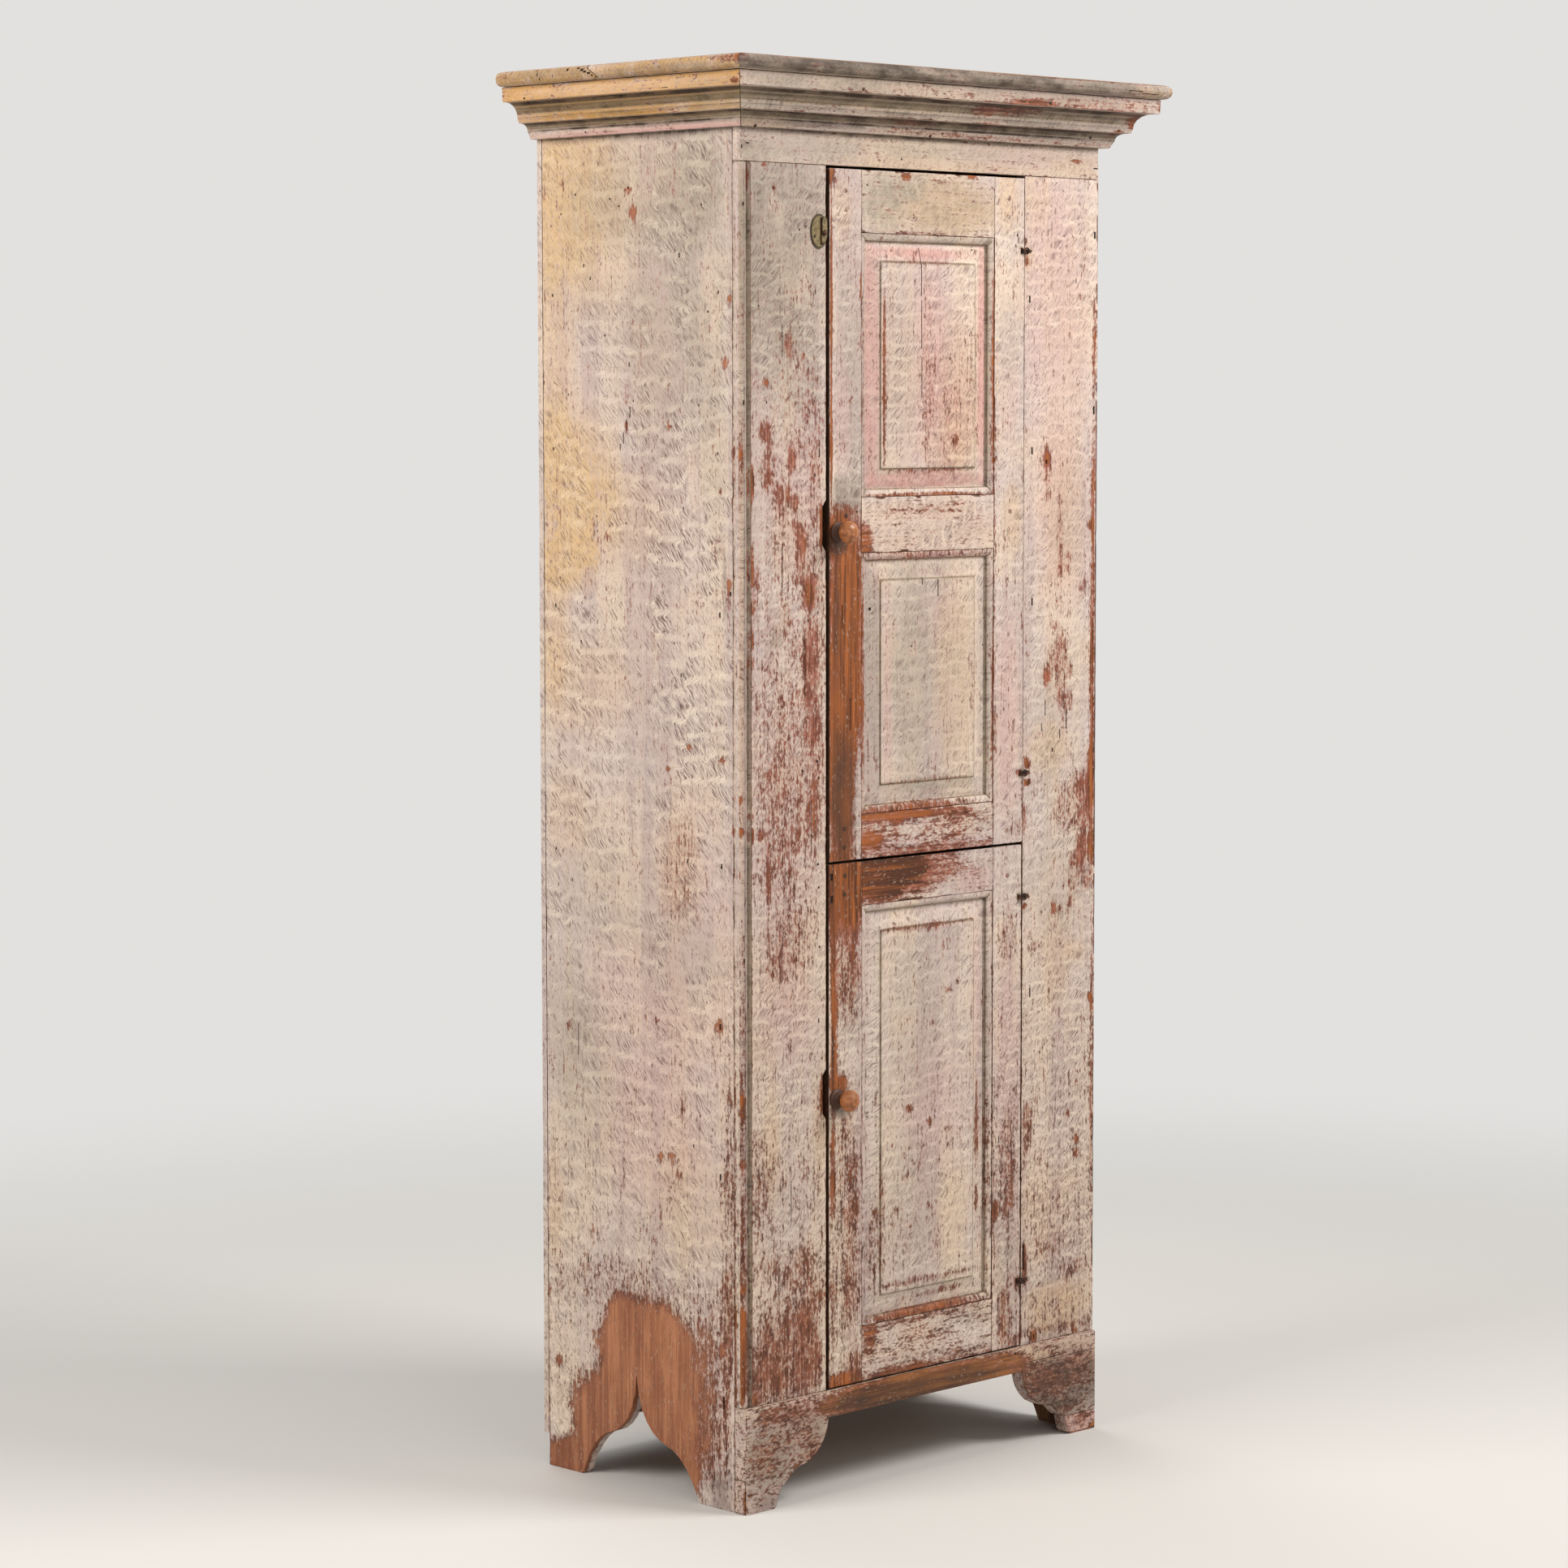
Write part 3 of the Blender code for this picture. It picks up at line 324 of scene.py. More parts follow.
    # The red-brown coat, darker low down, and the pine.
    low_down = net.step(z, 1.1, 0.3)
    under_tone = net.step(net.add(0.5, net.around(grain, 0.7), net.around(blot, 1.1)), 0.3, 0.7)
    dark_red = net.blend(low_down, DARK_RED, DARK_LOW_RED)
    light_red = net.blend(low_down, LIGHT_RED, LIGHT_LOW_RED)
    under = net.blend(under_tone, dark_red, light_red)
    rubbed = net.step(net.add(fleck, net.around(grain, 0.8)), 0.52, 0.68)
    under = net.blend(net.times(rubbed, 0.5), under, RUBBED_RED)
    coat = net.blend(net.times(net.rest(thick), 0.5), coat, under)
    pine, _, hair = pine_colour(net, along, *wood, 0.52)
    reddened = net.step(net.add(patch, net.around(grain, 0.5)), 0.42, 0.7)
    scrap = net.step(net.add(fleck, net.around(hair, 0.6)), 0.63, 0.74)
    for share, colour in (
        (net.times(reddened, 0.4), RED_PINE),
        # pine darkened by dirt and by painted shadows
        (net.times(dirt, 0.6), DIRT_AND_SHADE_PINE),
        (net.times(net.step(rough_fleck, 0.6, 1.0), 0.6), DARK_PINE),
        (net.times(scrap, 0.45), PAINT_SCRAP),
        (inner_face, pine_colour(net, along, *DRY_PINE, stained=0.35)[0]),
    ):
        pine = net.blend(share, pine, colour)
    colour = net.blend(under_kept, pine, under)
    colour = net.blend(kept, colour, coat)

    # Dirt and painted shadows from the patches, painted shade in hollows and corners,
    # and the dark inside of nail holes and cracks, painted as shade and dirt.
    grime_and_shade = net.times(dirt, net.add(0.45, net.times(net.step(nick, 0.35, 0.7), 0.5)), 0.7)
    colour = net.blend(grime_and_shade, colour, GRIME_AND_SHADE)
    # Painted shade, darkest deep in hollows and inner corners.
    deep_shade = net.step(net.add(hollow, net.around(blot, 0.3)), 0.42, 1.05)
    colour = net.blend(net.times(deep_shade, net.add(0.55, net.times(broken, 0.4))), colour, DEEP_SHADE)
    # the inside of holes and cracks, painted dark as shade and dirt
    colour = net.blend(hole, colour, HOLE_SHADE_AND_DIRT)
    net.put(colour, net.shader.inputs["Base Color"])
    net.put(net.add(0.5, net.times(kept, 0.16), net.around(fleck, 0.15)), net.shader.inputs["Roughness"])
    net.shader.inputs["Specular IOR Level"].default_value = 0.3
    relief = net.add(
        net.times(kept, 0.5), net.times(stroke, kept, -0.35), net.times(grain, 0.7), net.times(fleck, 0.3),
    )
    net.bump(relief, 0.6, 0.8 * mm)
    return net.material


def old_pine(name, along, dark, light):
    """Unpainted inside and back boards, with saw marks, stains and dark joints."""
    net = Net(name)
    colour, ring, hair = pine_colour(net, along, dark, light, stained=0.35)
    dirt = net.attribute("wear")[2]
    shadow = net.attribute("tint")[3]
    edge, hole = net.attribute("rim")[:2]
    stain = net.noise(net.place, 7, 3)
    joint = net.step(net.add(edge, net.around(hair, 4 * mm)), 5 * mm, 1 * mm)
    parts = net.node("ShaderNodeSeparateXYZ")
    net.put(net.place, parts.inputs[0])
    run = parts.outputs["xyz".index(along)]
    saw = net.calc("SINE", net.times(net.add(run, net.around(stain, 20 * mm)), math.tau / (7 * mm)))
    for share, tone in (
        (net.times(net.step(stain, 0.45, 0.75), 0.35), srgb(92, 66, 46)),
        (net.times(shadow, 0.6), srgb(84, 58, 38)),
        (net.times(joint, 0.75), srgb(52, 37, 28)),
        (net.times(dirt, 0.7), srgb(58, 42, 33)),
        # the inside of holes, painted dark as shade and dirt
        (hole, srgb(34, 24, 18)),
    ):
        colour = net.blend(share, colour, tone)
    net.put(colour, net.shader.inputs["Base Color"])
    net.put(net.add(0.72, net.around(hair, 0.2)), net.shader.inputs["Roughness"])
    net.shader.inputs["Specular IOR Level"].default_value = 0.3
    net.bump(net.add(ring, net.times(hair, 0.5), net.times(saw, 0.12)), 0.4, 0.6 * mm)
    return net.material


def metal(name, dark, light, rust, gloss, rough, rust_share, rim_of=()):
    """Iron or brass with tarnish, pits and rust, and dirt at the rim of an oval piece."""
    net = Net(name)
    cloud = net.noise(net.place, 160, 4, 0.6)
    pit = net.noise(net.place, 900, 2, 0.6)
    colour = net.blend(net.step(cloud, 0.35, 0.65), dark, light)
    eaten = net.step(net.add(cloud, net.around(pit, 0.5)), 0.62 - rust_share, 0.74 - rust_share)
    colour = net.blend(net.times(eaten, 0.9), colour, rust)
    for node in rim_of:
        low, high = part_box(node)
        middle, half = (low + high) / 2, (high - low) / 2
        parts = net.node("ShaderNodeSeparateXYZ")
        net.put(net.place, parts.inputs[0])
        shares = []
        for i in (0, 2):
            share = net.times(net.add(parts.outputs[i], -middle[i]), 1 / half[i])
            shares.append(net.times(share, share))
        outward = net.add(*shares, net.around(cloud, 0.3))
        colour = net.blend(net.times(net.step(outward, 0.62, 1.0), 0.8), colour, srgb(38, 30, 22))
    net.put(colour, net.shader.inputs["Base Color"])
    net.put(net.times(net.rest(eaten), gloss), net.shader.inputs["Metallic"])
    net.put(net.add(rough, net.times(eaten, 0.3), net.around(pit, 0.2)), net.shader.inputs["Roughness"])
    net.bump(net.add(net.times(pit, 0.6), cloud), 0.5, 0.4 * mm)
    return net.material


def turned_wood(name, centre):
    """Polished knob wood with grain rings round the knob's own axis and painted shade on its neck, behind
    the head.
    """
    net = Net(name)
    place = net.scaled(1, 0.25, 1)
    ring = net.noise(place, 180, 4, 0.6)
    pore = net.noise(net.scaled(1, 0.12, 1), 900, 2, 0.6)
    cloud = net.noise(net.place, 70, 3)
    colour = net.blend(net.step(ring, 0.3, 0.7), srgb(134, 80, 46), srgb(188, 121, 76))
    colour = net.blend(net.times(net.step(cloud, 0.5, 0.75), 0.35), colour, srgb(98, 54, 30))
    colour = net.blend(net.times(net.step(pore, 0.6, 0.72), 0.3), colour, srgb(76, 42, 24))
    parts = net.node("ShaderNodeSeparateXYZ")
    net.put(net.place, parts.inputs[0])
    # The neck behind the head is painted dark: painted shade.
    neck_shade = net.step(parts.outputs[1], centre - 5 * mm, centre + 6 * mm)
    colour = net.blend(net.times(neck_shade, 0.92), colour, srgb(48, 23, 12))
    net.put(colour, net.shader.inputs["Base Color"])
    net.put(net.add(0.3, net.times(neck_shade, 0.2), net.around(cloud, 0.2)), net.shader.inputs["Roughness"])
    net.shader.inputs["Specular IOR Level"].default_value = 0.35
    net.bump(net.add(ring, net.times(pore, 0.6)), 0.15, 0.3 * mm)
    return net.material


# Places where the paint is worn through, tinted or dirty, in mm on the named face of a piece:
# (across, height, half width, half height, strength), where across is x on the front and y on a side.
# Some dirt patches are painted shadows and painted shade instead of dirt.
# Each was picked from the photo. A strength below 0 takes some of that wear away again.
WEAR = {
    "side_left": {
        "left": {
            "ochre": (
                (172, 1759, 82, 130, 0.8), (206, 1575, 41, 219, 0.6), (175, 1356, 90, 99, 0.95),
                (176, 1263, 66, 49, 0.8), (210, 1179, 33, 111, 0.6), (107, 1693, 64, 108, 0.35),
                (78, 1314, 96, 65, 0.4), (144, 1083, 98, 66, 0.35), (179, 915, 50, 67, 0.35),
                (-60, 408, 79, 88, 0.35), (217, 372, 25, 68, 0.5), (-43, 848, 41, 76, 0.4),
                (13, 1551, 47, 128, 0.25), (43, 1755, 158, 64, 0.3),
            ),
            "comb": (
                (48, 978, 192, 175, 0.25), (-63, 1124, 78, 129, 0.3), (-48, 1252, 93, 278, 0.5),
                (-78, 878, 62, 216, 0.4), (18, 542, 96, 154, 0.4), (-115, 1281, 25, 21, 0.8),
                (78, 1249, 96, 130, 0.3), (189, 1684, 49, 152, -0.4), (107, 1736, 80, 64, -0.2),
                (80, 987, 97, 44, -0.3), (-93, 1645, 52, 200, 0.25),
            ),
            "rose": ((19, 486, 96, 88, 0.3), (-77, 716, 78, 217, 0.25), (50, 649, 97, 110, 0.25),),
            "ash": (
                (-18, 1540, 78, 128, 0.4), (-111, 1402, 31, 85, 0.35), (114, 808, 98, 66, 0.3),
                (-46, 734, 79, 65, 0.4), (148, 549, 66, 112, 0.4), (181, 635, 50, 90, 0.4),
                (-66, 1730, 62, 74, 0.3), (-93, 1645, 52, 200, 0.55), (12, 1754, 173, 74, 0.5),
                (76, 1649, 128, 107, 0.25),
            ),
            "pale": ((104, 1265, 8, 55, 0.35), (-79, 1093, 47, 86, 0.3), (112, 996, 49, 66, 0.3),),
            "bare": (
                (21, 164, 73, 84, 1), (69, 190, 49, 56, 0.9), (86, 97, 82, 51, 1), (136, 44, 75, 34, 1),
                (-24, 132, 41, 73, 0.7), (-56, 82, 38, 51, 0.75), (-4, 218, 38, 33, 0.4),
                (186, 12, 42, 29, 0.9), (-51, 32, 24, 33, 0.7), (-91, 182, 22, 66, 0.45),
                (77, 239, 23, 25, 0.5), (28, 219, 26, 29, 0.6), (-52, 214, 13, 33, 0.4),
                (-43, 848, 35, 65, 0.12), (194, 56, 27, 25, -0.8), (44, 1721, 4.7, 9, 1.2),
                (53, 1751, 4.8, 3.2, 0.8), (-131, 1520, 4.6, 7, 1), (-138, 1234, 3.0, 5, 1),
                (-140, 1604, 3.8, 4.2, 1), (-147, 909, 3.8, 5, 1), (-23, 1438, 3.9, 3.2, 0.9),
                (-61, 1016, 3.9, 3.2, 0.9), (-20, 985, 3.9, 3.2, 0.9), (-125, 1002, 3.8, 3.2, 0.9),
                (-119, 649, 5, 10, 0.9), (-5, 463, 4.0, 4.4, 0.9), (-24, 465, 4.0, 4.4, 0.9),
                (224, 246, 5, 6, 1), (203, 152, 5, 7, 1), (-121, 215, 4.7, 7, 0.8), (233, 515, 3.4, 18, 0.8),
                (58, 1437, 3.2, 9, 0.6), (235, 346, 5, 68, 0.5), (231, 73, 7, 46, 0.8),
            ),
            "red": (
                (-43, 848, 19, 54, 0.12), (-114, 87, 23, 66, 0.6), (-135, 396, 9, 218, 0.5),
                (-130, 232, 12, 88, 0.7), (36, 273, 178, 33, 0.3), (-115, 1281, 15, 15, 0.35),
                (-136, 1212, 4.6, 42, 0.3), (185, 1765, 4.9, 3.3, 0.9), (-121, 1353, 4.6, 4.2, 0.8),
                (99, 1292, 4.0, 8, 0.8), (-40, 441, 4.7, 5, 0.7), (5, 645, 4.8, 4.4, 0.8),
                (180, 621, 5.0, 4.5, 0.8), (-45, 531, 3.2, 24, 0.7), (234, 911, 5, 336, 0.35),
            ),
            # The thin band at 1823 mm is a painted shadow under the cornice.
            "dirt": ((-121, 24, 22, 28, 0.6), (-130, 1231, 3.1, 49, 0.9), (30, 1823, 210, 2.2, 1.5),),
        },
    },
    "case_stile_left": {
        "front": {
            "red": (
                (-306, 1433, 9, 15, 0.9), (-299, 1414, 7, 8, 0.4), (-299, 1391, 10, 21, 0.6),
                (-302, 1371, 7, 13, 0.6), (-307, 1359, 6, 11, 0.4), (-260, 1399, 6, 19, 1.2),
                (-281, 1348, 9, 17, 0.7), (-275, 1326, 4.5, 9, 0.6), (-250, 1306, 9, 11, 0.6),
                (-241, 1291, 9, 19, 0.8), (-221, 1447, 30, 64, 0.25), (-242, 1263, 8, 19, 0.7),
                (-236, 1239, 21, 6, 0.7), (-221, 1228, 12, 11, 0.8), (-221, 1144, 12, 65, 0.6),
                (-221, 1069, 12, 43, 0.6), (-215, 1036, 12, 17, 0.7), (-233, 1032, 12, 13, 0.4),
                (-322, 1242, 5, 19, 0.8), (-326, 1207, 4.4, 11, 0.5), (-263, 1547, 9, 15, 0.85),
                (-264, 753, 49, 39, 0.3), (-282, 728, 23, 22, 0.2), (-302, 854, 3.0, 59, 0.9),
                (-301, 979, 12, 6, 0.6), (-259, 931, 61, 129, 0.22), (-237, 286, 38, 50, 0.35),
                (-226, 185, 25, 40, 1.1), (-275, 203, 67, 55, 1), (-306, 175, 39, 29, 0.5),
                (-222, 250, 22, 33, 0.5), (-268, 323, 46, 22, 0.25), (-320, 450, 15, 65, 0.35),
                (-352, 1382, 6, 42, 0.5), (-353, 1255, 6, 211, 0.15), (-356, 1601, 4.4, 29, 0.6),
                (-354, 617, 12, 129, 0.45), (-352, 454, 12, 108, 0.4), (-352, 335, 12, 87, 0.5),
                (-200, 180, 6, 67, -0.5), (-259, 1338, 45, 128, 0.12), (-215, 1166, 18, 280, 0.35),
                (-282, 771, 60, 173, 0.1), (-275, 412, 68, 131, 0.06), (-274, 1519, 67, 127, 0.1),
                (-270, 1039, 66, 247, 0.3),
            ),
            "ochre": (
                (-353, 1192, 9, 528, 0.4), (-298, 502, 15, 87, 0.5), (-206, 491, 9, 88, 0.4),
                (-313, 612, 30, 32, 0.25), (-352, 1675, 9, 125, 0.4),
            ),
            "ash": (
                (-362, 1044, 6, 636, 0.3), (-325, 1675, 29, 104, 0.35), (-244, 1519, 38, 64, 0.35),
                (-288, 1162, 10, 15, 0.9), (-266, 1719, 67, 63, 0.35), (-296, 1571, 45, 84, 0.25),
                (-273, 1656, 82, 200, 0.55), (-340, 1570, 12, 230, 0.4),
            ),
            "bare": (
                (-256, 1391, 6, 11, 0.6), (-266, 1349, 6, 13, 0.5), (-251, 1339, 8, 9, 0.4),
                (-236, 1281, 4.5, 13, 0.6), (-224, 1217, 11, 18, 0.9), (-332, 1364, 5, 23, 1),
                (-333, 1255, 4.4, 26, 0.9), (-334, 1200, 4.4, 6, 0.6), (-333, 1162, 3.7, 17, 0.9),
                (-334, 1131, 3.7, 10, 0.7), (-351, 1403, 4.4, 8, 0.8), (-360, 1446, 2.9, 5, 0.5),
                (-351, 951, 3.7, 4.3, 1), (-333, 904, 4.5, 9, 1), (-351, 909, 6, 5, 0.8),
                (-317, 903, 3.0, 9, 0.8), (-334, 930, 3.0, 5, 0.8), (-352, 853, 3.0, 7, 0.7),
                (-349, 556, 4.5, 6, 0.7), (-349, 468, 4.5, 6, 0.5), (-347, 302, 4.5, 5, 0.7),
                (-348, 264, 4.5, 11, 0.9), (-350, 204, 6, 54, 0.8), (-356, 167, 9, 15, 0.8),
                (-330, 152, 8, 9, 0.6), (-346, 231, 7, 33, 0.4), (-305, 1496, 4.5, 4.2, 0.7),
                (-235, 1531, 3.0, 3.2, 0.8), (-308, 1778, 4.4, 3.1, 1), (-338, 1760, 2.9, 15, 0.7),
                (-291, 1748, 3.0, 3.1, 0.8), (-203, 1307, 2.4, 32, 0.9), (-203, 543, 2.5, 26, 0.9),
            ),
            "pale": (
                (-285, 1224, 36, 19, 0.9), (-274, 1093, 30, 64, 0.5), (-252, 866, 38, 65, 0.5),
                (-283, 576, 45, 54, 0.3),
            ),
            "rose": ((-251, 1338, 45, 96, 0.35), (-267, 661, 53, 87, 0.3), (-274, 932, 68, 237, 0.2),),
            "comb": (
                (-260, 617, 53, 141, 0.4), (-267, 1039, 53, 129, 0.3), (-281, 1624, 45, 126, -0.1),
                (-273, 1645, 75, 200, 0.4),
            ),
            "dirt": ((-344, 980, 1.9, 831, 0.95), (-363, 981, 1.8, 829, 0.5), (-273, 1698, 89, 137, 0.42),),
        },
    },
    "case_stile_right": {
        "front": {
            "ochre": (
                (217, 1756, 27, 56, 0.5), (270, 1307, 34, 227, 0.25), (252, 988, 41, 34, 0.5),
                (266, 688, 28, 69, 0.4), (309, 696, 24, 16, 0.4), (251, 342, 52, 70, 0.3),
                (269, 188, 63, 35, 0.65), (202, 1669, 13, 18, 0.7),
            ),
            "rose": ((260, 1578, 68, 202, 0.45), (279, 1306, 60, 114, 0.35),),
            "ash": ((296, 1306, 41, 68, 0.3), (247, 1011, 34, 91, 0.3), (265, 792, 60, 69, 0.3),),
            "pale": ((280, 1170, 34, 46, 0.5), (261, 1465, 51, 68, 0.3), (251, 412, 52, 47, 0.3),),
            "comb": (
                (259, 1690, 68, 134, 0.2), (274, 722, 69, 127, 0.3), (267, 503, 69, 139, 0.5),
                (268, 363, 69, 93, 0.4), (286, 250, 63, 28, 0.5), (270, 176, 69, 35, -0.4),
            ),
            "red": (
                (244, 1388, 8, 15, 0.9), (244, 1405, 4.2, 8, 0.5), (245, 1362, 7, 7, 0.55),
                (246, 1340, 7, 7, 0.55), (247, 1293, 7, 7, 0.4), (272, 1235, 6, 7, 0.85),
                (289, 1238, 5, 7, 0.65), (291, 1254, 5, 7, 0.6), (274, 1278, 5, 85, 0.4),
                (321, 1211, 10, 14, 0.45), (273, 1138, 9, 14, 0.65), (260, 1111, 12, 21, 0.65),
                (246, 1087, 9, 17, 0.95), (272, 1090, 5, 43, 0.65), (284, 1078, 7, 60, 0.55),
                (294, 1093, 6, 10, 0.85), (295, 1055, 4.3, 18, 0.65), (274, 1053, 5, 11, 0.6),
                (263, 1158, 8, 6, 0.65), (327, 903, 14, 49, 0.65), (308, 933, 24, 16, 0.45),
                (299, 893, 38, 37, 0.4), (337, 920, 6, 37, 0.85), (322, 836, 14, 28, 1.1),
                (303, 824, 10, 13, 0.85), (336, 795, 8, 15, 0.9), (263, 761, 6, 10, 0.85),
                (278, 758, 4.3, 9, 0.65), (298, 767, 6, 10, 0.85), (309, 795, 26, 16, 0.4),
                (227, 710, 14, 9, 0.45), (208, 452, 10, 30, 0.85), (203, 416, 5, 25, 0.5),
                (314, 1617, 4.3, 4.5, 0.9), (340, 1608, 4.3, 4.5, 0.6), (304, 241, 35, 12, 0.35),
                (269, 281, 52, 16, 0.25), (270, 157, 76, 7, 0.4),
            ),
            "bare": (
                (244, 1391, 5, 9, 0.6), (246, 1087, 5, 8, 0.7), (320, 839, 9, 19, 0.5),
                (263, 759, 4.3, 7, 0.5), (313, 424, 5, 6, 0.8), (313, 404, 7, 7, 0.6),
                (295, 462, 5, 4.7, 0.5), (342, 1122, 3.8, 196, 0.85), (341, 937, 5, 69, 0.9),
                (342, 844, 4.4, 35, 0.8), (342, 1351, 3.8, 80, 0.6), (343, 1545, 3.5, 80, 0.45),
                (338, 1298, 6, 7, 0.9), (340, 626, 5, 4.7, 0.8), (345, 541, 3.5, 234, 0.3),
                (224, 152, 6, 9, 1), (312, 147, 4.4, 4.7, 0.8), (205, 968, 5, 8, 0.9), (206, 941, 7, 4.6, 1),
                (201, 767, 5, 4.6, 0.8), (197, 1691, 3.7, 4.5, 0.9), (200, 1666, 5, 7, 0.9),
                (204, 256, 4.3, 30, 0.7), (200, 889, 3.4, 23, 0.5),
            ),
            "dirt": ((269, 188, 87, 70, 0.16), (195, 1692, 3.3, 6, 0.8),),
        },
    },
    "frieze_board": {
        "front": {
            "ochre": ((12, 1787, 176, 13, 0.35), (293, 1798, 51, 13, 0.35), (-67, 1789, 471, 32, 0.15),),
            "ash": (
                (-325, 1795, 32, 17, 0.5), (-221, 1794, 75, 11, 0.35), (12, 1805, 320, 9, 0.3),
                (-67, 1789, 471, 32, 0.35),
            ),
            "rose": ((175, 1804, 116, 15, 0.3),),
            "bare": ((303, 1805, 10, 2.2, 0.8),),
            # The thin band at 1823 mm is a painted shadow under the cornice.
            "dirt": ((-344, 1802, 13, 6, 0.6), (0, 1823, 360, 2.2, 1.5),),
            "red": ((158, 1779, 99, 3.3, 0.3),),
            "comb": ((-67, 1795, 471, 32, -0.3),),
        },
    },
    "upper_door_rail_top": {
        "front": {
            "ochre": ((36, 1733, 96, 33, 0.65), (-4, 1738, 143, 43, 0.3),),
            "ash": ((-90, 1735, 37, 43, 0.35), (-51, 1747, 31, 13, 0.3), (-4, 1738, 143, 43, 0.7),),
            "bare": ((-43, 1772, 9, 3.8, 1.1), (85, 1776, 8, 2.7, 0.9),),
            "red": ((12, 1697, 112, 2.2, 0.4),),
            "comb": ((12, 1738, 144, 43, -0.1),),
            "dirt": ((-20, 1737, 159, 43, 0.08),),
        },
    },
    "upper_door_stile_left": {
        "front": {
            "ash": ((-137, 1465, 19, 129, 0.45), (-160, 1573, 22, 86, 0.3), (-160, 1345, 31, 32, 0.7),),
            "ochre": ((-168, 1722, 18, 43, 0.35),),
            "rose": ((-168, 1444, 18, 86, 0.3),),
            "bare": (
                (-178, 1294, 18, 28, 0.9), (-160, 1362, 37, 37, -0.55), (-166, 1077, 26, 260, 1.25),
                (-138, 1163, 12, 152, 0.7), (-187, 1768, 4.0, 8, 1.2), (-129, 1625, 3.1, 15, 0.8),
                (-187, 1594, 1.8, 160, 1.1), (-187, 1401, 2.4, 64, 1.1),
            ),
            # The dark spot at (-172, 1285) is the knob's painted shadow.
            "dirt": (
                (-183, 1762, 2.4, 7, 0.8), (-163, 941, 25, 87, 0.7), (-175, 1034, 12, 195, 0.25),
                (-178, 1186, 6, 65, 0.4), (-172, 1285, 17, 16, 1.3), (-160, 1347, 28, 24, 0.5),
            ),
            "red": (
                (-180, 1765, 6, 8, 0.4), (-141, 1000, 9, 87, -0.45), (-160, 1331, 26, 11, 0.35),
                (-141, 1315, 12, 32, 0.3),
            ),
            "comb": ((-160, 1573, 31, 171, 0.2),),
        },
    },
    "upper_door_stile_right": {
        "front": {
            "ochre": ((158, 1754, 20, 50, 0.6), (169, 1308, 20, 45, 0.5),),
            "rose": ((162, 1039, 23, 136, 0.45), (160, 1487, 23, 89, 0.25),),
            "ash": ((159, 1554, 20, 67, 0.3),),
            "red": ((180, 879, 13, 16, 0.4), (135, 1242, 3.3, 336, 0.3),),
            "bare": ((186, 957, 7, 4.5, 0.6),),
        },
    },
    "upper_door_rail_middle": {
        "front": {
            "bare": ((-121, 1287, 12, 20, 0.9),),
            "red": ((-3, 1328, 96, 9, 0.35),),
            "ash": ((13, 1295, 97, 15, 0.3),),
            "pale": ((-35, 1302, 80, 15, 0.3),),
            "comb": ((-3, 1301, 144, 33, 0.7),),
            "rose": ((-3, 1301, 144, 33, 0.3),),
        },
    },
    "upper_door_rail_bottom": {
        "front": {
            "bare": ((-81, 913, 79, 7, 0.8), (31, 912, 65, 4.5, 0.5), (-113, 883, 22, 15, 0.6),),
            "red": ((-18, 890, 145, 29, 0.55), (15, 862, 146, 7, 0.85),),
            "pale": ((15, 888, 97, 9, 0.7),),
            "ash": ((96, 896, 33, 16, 0.3),),
        },
    },
    "lower_door_rail_top": {
        "front": {
            "bare": ((-89, 832, 71, 31, 1.3), (-26, 838, 32, 17, 0.75),),
            "red": ((15, 840, 52, 17, 0.95), (-1, 819, 36, 15, 0.85), (72, 830, 53, 15, 0.5),),
            "rose": ((97, 811, 33, 16, 0.4),),
            "pale": ((97, 840, 33, 9, 0.4),),
        },
    },
    "lower_door_stile_left": {
        "front": {
            "bare": (
                (-157, 820, 37, 50, 1.35), (-181, 729, 5, 142, 1), (-181, 565, 5, 66, 0.7),
                (-183, 433, 5, 66, 0.55), (-159, 148, 35, 13, 1), (-169, 557, 16, 11, 0.9),
            ),
            "red": (
                (-160, 771, 31, 26, 0.85), (-152, 705, 25, 66, 0.65), (-152, 440, 25, 89, 0.42),
                (-147, 306, 16, 100, 0.35), (-147, 261, 13, 56, 0.3), (-141, 171, 13, 17, 1),
                (-181, 266, 6, 67, 0.5),
            ),
            "pale": ((-147, 605, 22, 38, 0.6), (-152, 395, 19, 22, 0.4),),
            # This dark spot is the lower knob's painted shadow.
            "dirt": ((-164, 525, 16, 15, 1.3),),
            "ash": ((-144, 649, 19, 44, 0.3),),
            "comb": ((-152, 650, 31, 88, 0.6),),
        },
    },
    "lower_door_rail_bottom": {
        "front": {
            "red": (
                (0, 214, 98, 4.5, 0.6), (-16, 185, 65, 28, 0.15), (-48, 150, 65, 7, 0.6),
                (100, 148, 67, 6, 0.5), (-64, 238, 80, 6, 0.6),
            ),
            "bare": ((-48, 146, 71, 6, 0.6), (-112, 211, 13, 34, 0.5),),
            "pale": ((83, 181, 50, 16, 0.6),),
            "ash": ((99, 202, 50, 12, 0.4),),
        },
    },
    "lower_door_stile_right": {
        "front": {
            "red": (
                (164, 721, 17, 39, 0.4), (165, 400, 17, 74, 0.55), (160, 192, 12, 39, 0.85),
                (184, 152, 17, 9, 0.65), (139, 334, 3.4, 92, 0.5),
            ),
            "bare": ((141, 343, 6, 12, 1), (190, 234, 9, 7, 0.7),),
            "rose": ((165, 560, 24, 138, 0.35),),
            "ash": ((166, 261, 20, 93, 0.35),),
            "pale": ((174, 788, 13, 34, 0.4),),
            "comb": ((165, 469, 27, 207, 0.4),),
        },
    },
    "lower_moulding": {
        "front": {
            "red": (
